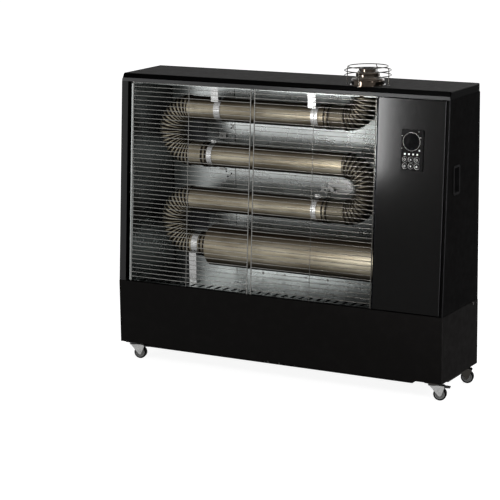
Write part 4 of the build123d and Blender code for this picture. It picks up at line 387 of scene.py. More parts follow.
def paint(name, colour, rough, specular, dust=0.25, uneven=0.065, peel=0.6):
    """Powder coat with a fine orange peel and a little dust."""
    finish = Finish(name, colour, rough, specular=specular)
    scuffed(finish, colour, lighter(colour, 2.2, 0.004), dust)
    haze = finish.noise(55.0, detail=4.0)
    finish.feed("Roughness", finish.range(haze, *NOISE_SPAN, rough - uneven, rough + uneven))
    finish.relief(finish.noise(950.0, detail=2.0), PEEL_DEPTH, strength=peel)
    return finish


def moulded(name, colour, rough, specular=0.4, grain=1400.0):
    """Moulded plastic with a fine grain."""
    finish = Finish(name, colour, rough, specular=specular)
    scuffed(finish, colour, lighter(colour, 1.8, 0.01), amount=0.3, scale=60.0)
    haze = finish.noise(130.0)
    finish.feed("Roughness", finish.range(haze, *NOISE_SPAN, rough - 0.07, rough + 0.08))
    finish.relief(finish.noise(grain, detail=2.0), GRAIN_DEPTH, strength=0.5)
    return finish


def rolled(name, colour, rough, x=4.0, y=4.0, z=260.0):
    """Bright sheet with rolling streaks across it."""
    finish = Finish(name, colour, rough, metal=1.0)
    lines = finish.noise(1.0, detail=5.0, rough=0.6, vector=finish.stretched(x, y, z))
    tone = finish.mix(finish.range(lines, *NOISE_SPAN), lighter(colour, 0.72, 0.0), colour)
    finish.feed("Base Color", tone)
    haze = finish.noise(18.0, detail=4.0)
    finish.feed("Roughness", finish.range(haze, *NOISE_SPAN, rough - 0.02, rough + 0.03))
    finish.relief(lines, STREAK_DEPTH, strength=0.5)
    return finish


# Finishes of the case
def on_front(finish, node, depth):
    """1 on what lies near the node's face that leans back."""
    level = finish.vector("DOT_PRODUCT", finish.place(), tuple(FACE_NORMAL))
    return finish.math("GREATER_THAN", level, face_level(node) - depth)


def edge_tone(finish, mask, colour):
    """Second tone where the mask is 1; here a painted highlight on an edge or a fold."""
    finish.feed("Base Color", finish.mix(mask, finish.fed("Base Color"), colour))
    return finish


def right_fold(finish, node):
    """1 on the rounded fold at the right of the node's face."""
    far_right = finish.math("GREATER_THAN", finish.axis("X"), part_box(node)[1].x - FOLD_WIDTH)
    return finish.math("MULTIPLY", far_right, on_front(finish, node, FOLD_DEPTH))


def lid_paint():
    """Matt top, glossy bevel and a grey front lip, told apart by where they lie; the lip lightens towards
    its left end as a painted highlight.
    """
    low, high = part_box("lid")
    finish = paint("lid_black", LID_TOP, rough=LID_TOP_ROUGH, specular=0.004)
    height = finish.axis("Z")
    on_lip = finish.math("LESS_THAN", height, low.z + LIP_SHARE * (high.z - low.z))
    in_front = finish.math("LESS_THAN", finish.axis("Y"), low.y + LIP_DEPTH)
    on_lip = finish.math("MULTIPLY", on_lip, in_front)
    on_top = finish.math("GREATER_THAN", height, high.z - TOP_SKIN)
    # Painted highlight: the lip lightens towards its left end
    lip = finish.mix(finish.range(finish.axis("X"), low.x, high.x), LID_LIP, LID_LIP_RIGHT)
    edge = finish.mix(on_lip, LID_BEVEL, lip)
    edge_rough = finish.blend(on_lip, LID_BEVEL_ROUGH, LID_LIP_ROUGH)
    finish.feed("Base Color", finish.mix(on_top, edge, finish.fed("Base Color")))
    finish.feed("Roughness", finish.blend(on_top, edge_rough, finish.fed("Roughness")))
    return finish


# Direction of the straight tubes
ALONG = (1.0, 0.0, 0.0)


# Finishes of the heat chamber
def mirror_sheet():
    """Bright reflector with painted shade near its left edge, towards its right end and behind the left
    bends, and a dark strip at its right front edge.
    """
    finish = rolled("reflector_sheet", REFLECTOR_BRIGHT, rough=0.27)
    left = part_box("reflector_back")[0].x
    across = finish.axis("X")
    on_wall = finish.math("LESS_THAN", across, left - WALL_MARGIN)
    near_left = finish.range(across, left + LEFT_REACH[0], left + LEFT_REACH[1], LEFT_SHADE, 0.0)
    right_end_shade = finish.range(across, *RIGHT_END_REACH, 0.0, RIGHT_END_SHADE)
    shade = finish.math("MAXIMUM", finish.blend(on_wall, near_left, WALL_SHADE), right_end_shade)
    finish.feed("Base Color", finish.mix(shade, finish.fed("Base Color"), REFLECTOR_SHADE))
    # Painted shadow of the left bends on the back
    before_end = finish.range(across, *BEND_SHADE_END, BEND_SHADE, 0.0)
    inside = finish.math("MULTIPLY", before_end, finish.range(across, *BEND_SHADE_START))
    for height in BEND_HEIGHTS:
        beside = finish.range(finish.off_height(height), *BEND_SHADE_ASIDE, 1.0, 0.0)
        bend_shadow = finish.math("MULTIPLY", inside, beside)
        finish.feed("Base Color", finish.mix(bend_shadow, finish.fed("Base Color"), SHADE_AND_STRIP_BLACK))
    strip = finish.math("GREATER_THAN", across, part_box("reflector_sides")[1].x - STRIP_WIDTH)
    finish.feed("Base Color", finish.mix(strip, finish.fed("Base Color"), SHADE_AND_STRIP_BLACK))
    return finish


def off_level(finish, heights, radius):
    """Height above or below the nearest of some axes, as a share of the tube's radius."""
    nearest = finish.least([finish.off_height(height) for height in heights])
    return finish.math("DIVIDE", nearest, radius)


def tube_steel(name, clean_or_lit_of, shade=1.0, edge_shade_of=None):
    """Tube steel in heat colours, sooty on its beads; painted shade darkens a bend as a whole and between
    its crests, and a tube above and below its axis.
    """
    finish = Finish(name, TUBE_LIGHT, rough=0.3, metal=1.0)
    lines = finish.noise(1.0, detail=6.0, rough=0.65, vector=finish.stretched(5.0, 90.0, 90.0))
    tint = finish.mix(finish.range(lines, *STREAK_SPAN), TUBE_DARK, TUBE_LIGHT)
    tint = finish.mix(finish.range(finish.noise(7.0), 0.4, 0.75, 0.0, 0.55), tint, TUBE_BROWN)
    # Painted shade: darker as a whole by the shade, and above and below the axis
    tint = finish.mix(1.0 - shade, tint, TUBE_SOOT_AND_SHADE)
    if edge_shade_of:
        tint = finish.mix(finish.range(edge_shade_of(finish), *EDGE_SHADE_SHARES, 0.0, EDGE_SHADE), tint, TUBE_EDGE_SHADE)
    finish.feed("Base Color", finish.mix(clean_or_lit_of(finish), TUBE_SOOT_AND_SHADE, tint))
    finish.feed("Roughness", finish.range(lines, *NOISE_SPAN, 0.4, 0.52))
    finish.relief(lines, DRAWN_DEPTH, strength=0.5)
    return finish


def below_bead(finish, reach, radius):
    """1 on a plain tube of a radius and 0 on the beads that stand out of it."""
    return finish.range(reach, radius + BEAD_RISE[0], radius + BEAD_RISE[1], 1.0, 0.0)


def straight_steel():
    """Finish of the straight runs: the nearest run's axis counts."""
    depth = middle("heat_tubes").y

    def clean_or_lit(finish):
        reaches = [finish.from_line((0.0, depth, height), ALONG) for height in run_heights()]
        return below_bead(finish, finish.least(reaches), TUBE_RADIUS)

    def shaded_edges(finish):
        return off_level(finish, run_heights(), TUBE_RADIUS)

    return tube_steel("tube_steel", clean_or_lit, edge_shade_of=shaded_edges)


def chamber_steel():
    """Finish of the chamber, whose narrow neck has beads of its own."""
    axis = middle("combustion_chamber")
    neck_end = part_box("combustion_chamber")[0].x + NECK_LENGTH

    def clean_or_lit(finish):
        reach = finish.from_line(axis, ALONG)
        on_neck = finish.math("LESS_THAN", finish.axis("X"), neck_end)
        wide = below_bead(finish, reach, CHAMBER_RADIUS)
        return finish.blend(on_neck, wide, below_bead(finish, reach, TUBE_RADIUS))

    def shaded_edges(finish):
        return off_level(finish, (axis.z,), CHAMBER_RADIUS)

    return tube_steel("chamber_steel", clean_or_lit, edge_shade_of=shaded_edges)


def bend_steel(node, right, cuff_height, shade):
    """Finish of a bend: crests catch the light on its arc, and its cuff is plain."""
    low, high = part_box(node)
    depth = (low.y + high.y) / 2
    reach_out = BEND_RADIUS + (high.y - low.y) / 2
    centre = (high.x - reach_out if right else low.x + reach_out, depth, low.z + reach_out)

    def clean_or_lit(finish):
        out = finish.from_ring(centre, BEND_RADIUS)
        # Painted highlight on the crests of the arc, with painted shade between them
        crest = finish.range(out, TUBE_RADIUS + CREST_RISE[0], TUBE_RADIUS + CREST_RISE[1])
        reach = finish.from_line((0.0, depth, cuff_height), ALONG)
        on_arc = finish.math("GREATER_THAN" if right else "LESS_THAN", finish.axis("X"), centre[0])
        return finish.blend(on_arc, below_bead(finish, reach, TUBE_RADIUS), crest)

    return tube_steel("steel_of_" + node, clean_or_lit, shade)


def wire_steel(name, colour):
    """Round wire with a patchy tarnish, and painted shade that darkens it towards the right."""
    finish = Finish(name, colour, 0.2, metal=1.0)
    finish.feed("Roughness", finish.range(finish.noise(300.0), *NOISE_SPAN, 0.16, 0.3))
    tarnish = finish.range(finish.noise(40.0, detail=4.0, rough=0.7), 0.45, 0.75, 0.0, 0.5)
    painted_shade = finish.range(finish.axis("X"), *WIRE_SHADE_REACH, 0.0, WIRE_SHADE_SHARE)
    tone = finish.mix(tarnish, colour, lighter(colour, 0.6, 0.0))
    finish.feed("Base Color", finish.mix(painted_shade, tone, WIRE_SHADE_TONE))
    return finish


def zinc_sheet():
    """Zinc plated sheet with a faint spangle."""
    finish = Finish("zinc_sheet", ZINC_GREY, rough=0.3, metal=1.0)
    grey = finish.cells(260.0)
    tones = lighter(ZINC_GREY, 0.8, 0.0), lighter(ZINC_GREY, 1.15, 0.0)
    finish.feed("Base Color", finish.mix(grey, *tones))
    finish.feed("Roughness", finish.range(grey, 0.0, 1.0, 0.24, 0.42))
    finish.relief(finish.noise(420.0), PLATING_DEPTH, strength=0.4)
    return finish


def clip_zinc():
    """Dull zinc of the small clips, bright from every side."""
    finish = Finish("clip_zinc", CLIP_GREYS[0], rough=0.5, metal=0.4, specular=0.2)
    finish.feed("Base Color", finish.mix(finish.cells(700.0), *CLIP_GREYS))
    finish.relief(finish.noise(900.0), PLATING_DEPTH, strength=0.4)
    return finish


def spun_steel():
    """Polished spun bell with fine turning rings round its axis."""
    centre = middle("flue_outlet")
    finish = Finish("spun_steel", STEEL_BROWN, rough=0.12, metal=1.0)
    reach = finish.from_line(centre, (0.0, 0.0, 1.0))
    rings = finish.math("SINE", finish.math("MULTIPLY", reach, TURNING_RATE))
    haze = finish.noise(60.0, detail=4.0)
    darker = lighter(STEEL_BROWN, 0.6, 0.0)
    finish.feed("Base Color", finish.mix(finish.range(haze, *STREAK_SPAN), STEEL_BROWN, darker))
    finish.feed("Roughness", finish.range(haze, *NOISE_SPAN, 0.07, 0.18))
    finish.relief(finish.range(rings, -1.0, 1.0), TURNING_DEPTH, strength=0.4)
    return finish


def cast_alloy():
    """Cast aluminium with a grainy skin."""
    finish = Finish("cast_alloy", ALLOY_GREYS[0], rough=0.5, metal=1.0)
    grain = finish.noise(700.0, detail=4.0, rough=0.7)
    finish.feed("Base Color", finish.mix(finish.range(grain, *STREAK_SPAN), *ALLOY_GREYS))
    finish.relief(grain, CAST_DEPTH, strength=0.6)
    return finish


def copper_pipe():
    """Copper with dull brown stains."""
    finish = Finish("copper_pipe", COPPER, rough=0.3, metal=1.0)
    stain = finish.range(finish.noise(55.0, detail=5.0, rough=0.7), 0.4, 0.7, 0.0, 0.8)
    finish.feed("Base Color", finish.mix(stain, COPPER, COPPER_STAIN))
    finish.feed("Roughness", finish.range(stain, 0.0, 0.8, 0.22, 0.5))
    return finish


def circuit_board():
    """Green board with paler tracks."""
    finish = Finish("circuit_board", BOARD_GREENS[0], rough=0.35)
    tracks = finish.node("ShaderNodeTexBrick", finish.place())
    tracks.inputs["Scale"].default_value = 140.0
    for socket, green in zip(("Color1", "Color2", "Mortar"), BOARD_GREENS):
        tracks.inputs[socket].default_value = (*green, 1.0)
    finish.feed("Base Color", tracks.outputs["Color"])
    finish.relief(finish.noise(600.0), BOARD_DEPTH, strength=0.3)
    return finish


# Finishes of the controls and the casters
def display_glass():
    """Black display window, and pale lamps below it."""
    finish = Finish("display_glass", GLASS_TONES[1], rough=0.08, specular=0.03)
    is_lamp = finish.math("GREATER_THAN", finish.from_line(DISPLAY_CENTRE, FACE_NORMAL), WINDOW_REACH)
    smear = finish.range(finish.noise(90.0, detail=4.0), *STREAK_SPAN)
    finish.feed("Base Color", finish.mix(is_lamp, finish.mix(smear, *GLASS_TONES), LAMP_PALE))
    finish.feed("Roughness", finish.range(smear, 0.0, 1.0, 0.05, 0.14))
    return finish


def wheel_finish(side):
    """Black tyre round a grey hub, told apart by the distance from the axle."""
    joint = JOINTS["roll_" + side]
    finish = Finish("wheel_" + side, TYRE_TONES[0], rough=0.6, specular=0.04)
    reach = finish.from_line(joint["pos_m"], Vector(joint["axis"]).normalized())
    is_tyre = finish.range(reach, HUB_RADIUS - HUB_EDGE, HUB_RADIUS + HUB_EDGE)
    scuff = finish.range(finish.noise(220.0, detail=5.0, rough=0.7), 0.45, 0.7)
    hub = finish.mix(scuff, *HUB_GREYS)
    tyre = finish.mix(scuff, *TYRE_TONES)
    finish.feed("Base Color", finish.mix(is_tyre, hub, tyre))
    finish.feed("Roughness", finish.range(is_tyre, 0.0, 1.0, 0.4, 0.65))
    finish.relief(finish.noise(800.0), RUBBER_DEPTH, strength=0.5)
    return finish


def run_heights():
    """Heights of the three thinner runs, from the lowest up."""
    low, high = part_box("heat_tubes")
    top = high.z - (high.y - low.y) / 2
    first = low.z + (high.y - low.y) / 2
    return first, (first + top) / 2, top


def case_finishes(back, side):
    """Finishes of the case and its underframe."""
    black = paint("satin_black", PAINT_BLACK, rough=0.42, specular=0.03)
    base_side = paint("base_side_black", PAINT_BLACK, rough=0.5, specular=0.006)
    door = paint("door_black", PAINT_DOOR, rough=0.13, specular=0.06, dust=0.1, uneven=0.008, peel=0.1)
    # Painted highlight on the door's right fold
    edge_tone(door, right_fold(door, "control_door"), FOLD_HIGHLIGHT)
    left_side = paint("left_side_black", PAINT_LEFT, rough=0.45, specular=0.02)
    # Painted highlight on the left side's front face
    edge_tone(left_side, on_front(left_side, "side_panel_left", EDGE_DEPTH), EDGE_HIGHLIGHT)
    # The right side is a darker copy of the black, as painted shade
    right_side = paint("right_side_black", PAINT_SIDE, rough=0.5, specular=0.003)
    # Painted highlight on the right side's right fold
    edge_tone(right_side, right_fold(right_side, "side_panel_right"), FOLD_HIGHLIGHT)
    return {
        "base_front_panel": black, "chassis_tray": black, "underframe_rails": black,
        "base_side_panels": base_side, "base_rear_panel": back, "back_panel": back, "deck_plate": side,
        "side_panel_left": left_side, "side_panel_right": right_side,
        "control_door": door, "lid": lid_paint(),
        "side_grips": moulded("grip_plastic", PLASTIC_BLACK, rough=0.6, specular=0.01),
    }


def chamber_finishes(mirror, zinc):
    """Finishes of the heat chamber, the guards and the outlet."""
    low_run, middle_run, top_run = run_heights()
    return {
        "reflector_back": mirror, "reflector_sides": mirror,
        "reflector_top": mirror, "reflector_bottom": mirror,
        "wire_guards": wire_steel("guard_wire", WIRE_GREY), "flue_guard": wire_steel("cage_wire", CAGE_GREY),
        "heat_tubes": straight_steel(), "combustion_chamber": chamber_steel(),
        "bend_left_upper": bend_steel("bend_left_upper", False, middle_run, LEFT_BEND_SHADE),
        "bend_left_lower": bend_steel("bend_left_lower", False, low_run, LEFT_BEND_SHADE),
        "bend_right": bend_steel("bend_right", True, low_run, RIGHT_BEND_SHADE),
        "flue_elbow": bend_steel("flue_elbow", True, top_run, RIGHT_BEND_SHADE),
        "band_clamps": zinc, "tube_supports": zinc, "safety_switches": zinc, "flue_outlet": spun_steel(),
    }


def inner_finishes():
    """Finishes of the controls, the burner and the fuel system."""
    plated = rolled("plated_steel", PLATED_GREY, rough=0.35, x=40.0, y=40.0, z=300.0)
    alloy = cast_alloy()
    dark_plastic = moulded("dark_plastic", PLASTIC_BLACK, rough=0.55)
    finishes = {
        "partition_wall": plated, "blast_tube": plated, "blower_wheel": plated,
        "burner_housing": paint("burner_enamel", ENAMEL_RED, rough=0.35, specular=0.5),
        "burner_motor": alloy, "fuel_pump": alloy, "fuel_lines": copper_pipe(),
        "fuel_tank": paint("tank_black", TANK_BLACK, rough=0.4, specular=0.4),
        "fuel_cap": moulded("cap_plastic", CAP_BLACK, rough=0.5),
        "mains_gland": dark_plastic, "ignition_set": dark_plastic,
        "control_unit": moulded("face_plastic", FACE_BLACK, rough=0.4, specular=0.012),
        "display_windows": display_glass(), "control_board": circuit_board(),
    }
    keys = moulded("key_plastic", KEY_BLACK, rough=0.2, specular=0.05, grain=500.0)
    for key in KEYS:
        finishes["button_" + key] = keys
    return finishes


def gear_finishes(zinc):
    """Finishes of the casters: zinc forks in front, and dark steel forks at the rear as painted shade."""
    darkened = wire_steel("darkened_steel", FORK_BLACK)
    pedal = moulded("pedal_plastic", PEDAL_BLACK, rough=0.45)
    finishes = {"caster_plates": darkened, "case_screws": darkened}
    for side in SIDES:
        in_front = side.startswith("front")
        # The rear forks take the dark steel as painted shade
        finishes["caster_fork_" + side] = zinc if in_front else darkened
        finishes["caster_wheel_" + side] = wheel_finish(side)
        if in_front:
            finishes["brake_pedal_" + side] = pedal
    return finishes


def dress_nodes():
    """Give every loaded node its finish, and return the finishes of the small pieces."""
    side = paint("side_black", PAINT_SIDE, rough=0.5, specular=0.003)
    back = paint("back_black", PAINT_BACK, rough=0.42, specular=0.2)
    mirror = mirror_sheet()
    zinc = zinc_sheet()
    finishes = {
        **case_finishes(back, side), **chamber_finishes(mirror, zinc),
        **inner_finishes(), **gear_finishes(zinc),
    }
    for name, node in NODES.items():
        node.data.materials.clear()
        node.data.materials.append(finishes[name].material)
    ink = moulded("print_grey", PRINT_GREY, rough=0.5)
    return {"print": ink, "clip": clip_zinc(), "back": back, "side": side, "mirror": mirror}


# Part of a prism's height that its bevel takes, and a dome's sections as radius and height
BEVEL_SHARE = 0.15
DOME_STEPS = ((1.0, 0.0), (1.0, 0.25), (0.86, 0.7), (0.5, 0.95), (0.15, 1.0))


# Meshes of the small pieces
class Sheet:
    """A flat working plane with closed solids standing on it."""

    def __init__(self, origin, right, up):
        self.origin = origin
        self.right = right
        self.up = up
        self.out = right.cross(up)
        self.mesh = bmesh.new()

    def at(self, x, y, level=0.0):
        """New vertex at a point of the plane, raised to a level."""
        return self.mesh.verts.new(self.origin + self.right * x + self.up * y + self.out * level)

    def stack(self, rings):
        """Closed solid through outlines of equal length, each a list of vertices."""
        for low, high in zip(rings, rings[1:]):
            count = len(low)
            for index in range(count):
                after = (index + 1) % count
                self.mesh.faces.new((low[index], low[after], high[after], high[index]))
        self.mesh.faces.new(list(reversed(rings[0])))
        self.mesh.faces.new(rings[-1])

    def prism(self, outline, low, high):
        """Outline of points raised from one level to another, with a small bevel on top."""
        bevel = BEVEL_SHARE * (high - low)
        centre = Vector((sum(x for x, y in outline), sum(y for x, y in outline))) / len(outline)
        top = []
        for x, y in outline:
            inward = centre - Vector((x, y))
            step = inward.normalized() * min(bevel, inward.length / 2)
            top.append((x + step.x, y + step.y))
        self.stack([
            [self.at(x, y, low) for x, y in outline],
            [self.at(x, y, high - bevel) for x, y in outline],
            [self.at(x, y, high) for x, y in top],
        ])

    def dome_at(self, x, y, radius, height, sides=16):
        """Round head with a domed top."""
        self.stack([
            [self.at(x + px * share, y + py * share, height * level) for px, py in circle(radius, sides)]
            for share, level in DOME_STEPS
        ])

    def band(self, outer, inner, low, high):
        """Closed frame between two outlines of equal length."""
        count = len(outer)
        rings = [
            [self.at(x, y, level) for x, y in outline]
            for outline, level in ((outer, low), (outer, high), (inner, high), (inner, low))
        ]
        for first, second in zip(rings, rings[1:] + rings[:1]):
            for index in range(count):
                after = (index + 1) % count
                self.mesh.faces.new((first[index], first[after], second[after], second[index]))

    def finish(self, name, finish, body="case"):
        """The solids as one piece that rides on a body."""
        bmesh.ops.recalc_face_normals(self.mesh, faces=self.mesh.faces)
        mesh = bpy.data.meshes.new(name)
        self.mesh.to_mesh(mesh)
        self.mesh.free()
        piece = bpy.data.objects.new(name, mesh)
        bpy.context.scene.collection.objects.link(piece)
        mesh.materials.append(finish.material)
        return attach(piece, body)


def circle(radius, sides, start=0.0, turn=math.tau):
    """Points round a circle or along an arc of it."""
    steps = sides if turn == math.tau else sides - 1
    return [
        (radius * math.cos(start + turn * step / steps), radius * math.sin(start + turn * step / steps))
        for step in range(sides)
    ]


def moved(outline, x, y):
    """An outline shifted along the plane."""
    return [(px + x, py + y) for px, py in outline]


def box_outline(x, y, width, height):
    """Outline of an upright rectangle round a centre."""
    w, h = width / 2, height / 2
    return [(x - w, y - h), (x + w, y - h), (x + w, y + h), (x - w, y + h)]


def arc_band(radius, thick, start, turn, sides=24):
    """Outline of a thin arc, as one closed loop."""
    outer = circle(radius + thick / 2, sides, start, turn)
    inner = circle(radius - thick / 2, sides, start, turn)
    return outer + inner[::-1]


# Print on the control unit
PRINT_HEIGHT = 0.00012
RING_RADIUS = 0.0272
RING_WIDTH = 0.0005
KEY_RING_OUTER = 0.0088
KEY_RING_INNER = 0.0084
# Shift of a key ring's hole, which leaves a thicker left side as a painted highlight
KEY_HIGHLIGHT_SHIFT = 0.0003
DISPLAY_RING_SIDES = 72
KEY_RING_SIDES = 40
DIGIT_HALF = 0.0045
DIGIT_STROKE = 0.0016
DIGIT_PITCH = 0.015
SHACKLE_LIFT = 0.0006

# Plain marks, as their centre from the display's centre, width and height
MARKS = (
    (0.0233, 0.0303, 0.0016, 0.0016),
    (0.0285, 0.0132, 0.006, 0.0016),
    (0.0264, -0.0248, 0.0045, 0.0045),
    (-0.0305, 0.0165, 0.003, 0.0014),
    (-0.0305, -0.0207, 0.003, 0.0014),
)


def print_panel(ink):
    """Ring round the display, printed rings round the keys whose thicker left side is a painted highlight,
    and plain marks.
    """
    level = face_level("control_unit")
    sheet = Sheet(on_face(DISPLAY_CENTRE, level), FACE_RIGHT, FACE_UP)
    outer = circle(RING_RADIUS + RING_WIDTH / 2, DISPLAY_RING_SIDES)
    inner = circle(RING_RADIUS - RING_WIDTH / 2, DISPLAY_RING_SIDES)
    sheet.band(outer, inner, 0.0, PRINT_HEIGHT)
    for mark in MARKS:
        sheet.prism(box_outline(*mark), 0.0, PRINT_HEIGHT)
    for key in KEYS:
        offset = middle("button_" + key) - DISPLAY_CENTRE
        x, y = offset.dot(FACE_RIGHT), offset.dot(FACE_UP)
        outer = moved(circle(KEY_RING_OUTER, KEY_RING_SIDES), x, y)
        inner = moved(circle(KEY_RING_INNER, KEY_RING_SIDES), x + KEY_HIGHLIGHT_SHIFT, y)
        sheet.band(outer, inner, 0.0, PRINT_HEIGHT)
    sheet.finish("panel_print", ink)


def key_symbols():
    """Plain symbol outlines of the six keys, from each key's centre."""
    arrow = [(-0.0028, -0.0018), (0.0028, -0.0018), (0.0, 0.003)]
    open_ring = arc_band(0.003, 0.0009, math.radians(125), math.radians(290))
    clock_ring = arc_band(0.003, 0.0008, 0.0, math.radians(359))
    shackle = moved(arc_band(0.0016, 0.0008, 0.0, math.pi, 12), 0.0, SHACKLE_LIFT)
    return {
        "power": [open_ring, box_outline(0.0, 0.0026, 0.0009, 0.003)],
        "up": [arrow],
        "timer": [
            clock_ring, box_outline(0.0, 0.001, 0.0008, 0.002), box_outline(0.001, 0.0, 0.0014, 0.0008),
        ],
        "mode": [box_outline(0.0, height, 0.0052, 0.0009) for height in (-0.002, 0.0, 0.002)],
        "down": [[(-x, -y) for x, y in arrow]],
        "lock": [box_outline(0.0, -0.001, 0.0048, 0.0034), shackle],
    }


def print_keys(ink):
    """The symbol of each key, which rides on it."""
    for key, outlines in key_symbols().items():
        node = "button_" + key
        sheet = Sheet(on_face(middle(node), face_level(node)), FACE_RIGHT, FACE_UP)
        for outline in outlines:
            sheet.prism(outline, -PRINT_HEIGHT, PRINT_HEIGHT)
        sheet.finish("symbol_" + key, ink, body=node)


def display_segments(ink):
    """Two unlit seven-segment digits on the display window."""
    nearby = [
        vertex.co.dot(FACE_NORMAL)
        for vertex in NODES["display_windows"].data.vertices
        if (vertex.co - DISPLAY_CENTRE).cross(FACE_NORMAL).length < WINDOW_REACH
    ]
    sheet = Sheet(on_face(DISPLAY_CENTRE, max(nearby)), FACE_RIGHT, FACE_UP)
    half, thick = DIGIT_HALF, DIGIT_STROKE / 2
    point = half - thick
    level_bar = [
        (-point, 0.0), (-point + thick, thick), (point - thick, thick),
        (point, 0.0), (point - thick, -thick), (-point + thick, -thick),
    ]
    upright_bar = [(y, -x) for x, y in level_bar]
    for x in (-DIGIT_PITCH / 2, DIGIT_PITCH / 2):
        for y in (-2 * half, 0.0, 2 * half):
            sheet.prism(moved(level_bar, x, y), 0.0, PRINT_HEIGHT)
        for side_x in (-half, half):
            for y in (-half, half):
                sheet.prism(moved(upright_bar, x + side_x, y), 0.0, PRINT_HEIGHT)
    sheet.finish("display_segments", ink)


# Clips and rivets on the back reflector, each from its x and height.
# Speed nuts go on with size and turn, holed plates with width, height and hole, slits with width and height.
SPEED_NUTS = ((0.0625, 0.5707, 0.0185, 0.3), (0.0986, 0.6007, 0.0145, 0.75))
HOLED_PLATES = (
    (-0.3087, 0.7181, 0.0243, 0.0195, 0.0034),
    (-0.2700, 0.7505, 0.0070, 0.0120, 0.0016),
    (-0.3129, 0.6105, 0.0204, 0.0085, 0.002),
)
SLITS = (
    (0.0763, 0.5762, 0.005, 0.0085),
    (0.0763, 0.5650, 0.005, 0.0090),
    (-0.2950, 0.7192, 0.0045, 0.0165),
    (-0.3105, 0.7072, 0.0260, 0.0028),
)
RIVETS = (
    (-0.2979, 0.6096), (-0.2980, 0.6021), (-0.2798, 0.5959), (-0.2927, 0.5863),
    (-0.2771, 0.7564), (-0.2773, 0.7453),
)
RIVET_RADIUS = 0.0026
RIVET_HEIGHT = 0.0022
ROW_RIVETS = 5
ROW_START = (-0.165, 0.277)
ROW_PITCH = 0.078
ROW_RADIUS = 0.004
ROW_HEIGHT = 0.0018
NUT_REACHES = (1.0, 0.62, 0.5, 0.62)
NUT_RIDGE = 0.42
NUT_HOLE = 0.22
NUT_STEPS = 16
NUT_HEIGHTS = (0.0012, 0.0030)
PLATE_HEIGHT = 0.002
SLIT_HEIGHT = 0.0004

# Lapped seam and the gap beside it, a dark strip of painted shade
SEAM_X = -0.2655
SEAM_WIDTH = 0.0034
SEAM_HEIGHT = 0.0009
SEAM_SHORTER = 0.002
GAP_ASIDE = 0.0024
GAP_WIDTH = 0.0014
GAP_HEIGHT = 0.0003


def clip_nut(sheet, x, y, size, turn):
    """Four-pointed push-on clip, raised round its hole."""
    outer, ridge, inner = [], [], []
    for step in range(NUT_STEPS):
        angle = turn + math.tau * step / NUT_STEPS
        reach = size * NUT_REACHES[step % len(NUT_REACHES)]
        for ring, radius in ((outer, reach), (ridge, NUT_RIDGE * size), (inner, NUT_HOLE * size)):
            ring.append((x + radius * math.cos(angle), y + radius * math.sin(angle)))
    sheet.band(outer, ridge, 0.0, NUT_HEIGHTS[0])
    sheet.band(ridge, inner, 0.0, NUT_HEIGHTS[1])


def holed_plate(sheet, x, y, width, height, hole):
    """Small plate with an eight-sided hole."""
    w, h = width / 2, height / 2
    outer = [(w, 0.0), (w, h), (0.0, h), (-w, h), (-w, 0.0), (-w, -h), (0.0, -h), (w, -h)]
    sheet.band(moved(outer, x, y), moved(circle(hole, len(outer)), x, y), 0.0, PLATE_HEIGHT)


def reflector_sheet():
    """Working plane on the front of the back reflector, with x and height as in the model."""
    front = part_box("reflector_back")[0].y
    return Sheet(Vector((0.0, front, 0.0)), Vector((1, 0, 0)), Vector((0, 0, 1)))


def reflector_details(finishes):
    """Push-on clips, holed plates, slits, rivets and a lapped seam; the slits and the gap by the seam are
    dark prisms of painted shade.
    """
    low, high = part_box("reflector_back")
    seam_z = (low.z + high.z) / 2
    seam_length = high.z - low.z - SEAM_SHORTER
    clips = reflector_sheet()
    for spot in SPEED_NUTS:
        clip_nut(clips, *spot)
    for spot in HOLED_PLATES:
        holed_plate(clips, *spot)
    for step in range(ROW_RIVETS):
        clips.dome_at(ROW_START[0] + ROW_PITCH * step, ROW_START[1], ROW_RADIUS, ROW_HEIGHT)
    clips.finish("reflector_clips", finishes["clip"])
    dark = reflector_sheet()
    for slit in SLITS:
        dark.prism(box_outline(*slit), 0.0, SLIT_HEIGHT)
    for x, y in RIVETS:
        dark.dome_at(x, y, RIVET_RADIUS, RIVET_HEIGHT)
    dark.prism(box_outline(SEAM_X + GAP_ASIDE, seam_z, GAP_WIDTH, seam_length), 0.0, GAP_HEIGHT)
    dark.finish("reflector_slits", finishes["side"])
    lap = reflector_sheet()
    lap.prism(box_outline(SEAM_X, seam_z, SEAM_WIDTH, seam_length), 0.0, SEAM_HEIGHT)
    lap.finish("reflector_lap", finishes["mirror"])


# Hoods over the louvres of the back: groups by x and the lowest hood's height, and hoods in a group
HOOD_FIRST = 0.47
HOOD_STEP = 0.18
HOOD_COLUMNS = [HOOD_FIRST - HOOD_STEP * step for step in range(6)]
HOOD_GROUPS = [(x, 0.756) for x in HOOD_COLUMNS] + [(HOOD_FIRST, 0.322)]
HOOD_PITCH = 0.014
HOODS = 7

# A hood's section as height and level, and its length as place along it and share of the level
HOOD_SECTION = (
    (0.0045, -0.0002), (0.0034, 0.0017), (0.0006, 0.0027), (-0.0030, 0.0030),
    (-0.0030, 0.0023), (0.0002, 0.0020), (0.0024, 0.0009), (0.0030, -0.0002),
)
HOOD_ENDS = (
    (-0.0475, 0.1), (-0.0455, 0.6), (-0.042, 0.9), (-0.037, 1.0),
    (0.037, 1.0), (0.042, 0.9), (0.0455, 0.6), (0.0475, 0.1),
)


def louvre_hoods(finish):
    """Pressed hoods, open at the bottom, over every slot of the back."""
    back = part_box("back_panel")[1].y
    sheet = Sheet(Vector((0.0, back, 0.0)), Vector((-1, 0, 0)), Vector((0, 0, 1)))
    for x, low in HOOD_GROUPS:
        for step in range(HOODS):
            height = low + HOOD_PITCH * step
            sheet.stack([
                [sheet.at(along - x, height + y, level * share) for y, level in HOOD_SECTION]
                for along, share in HOOD_ENDS
            ])
    sheet.finish("louvre_hoods", finish)


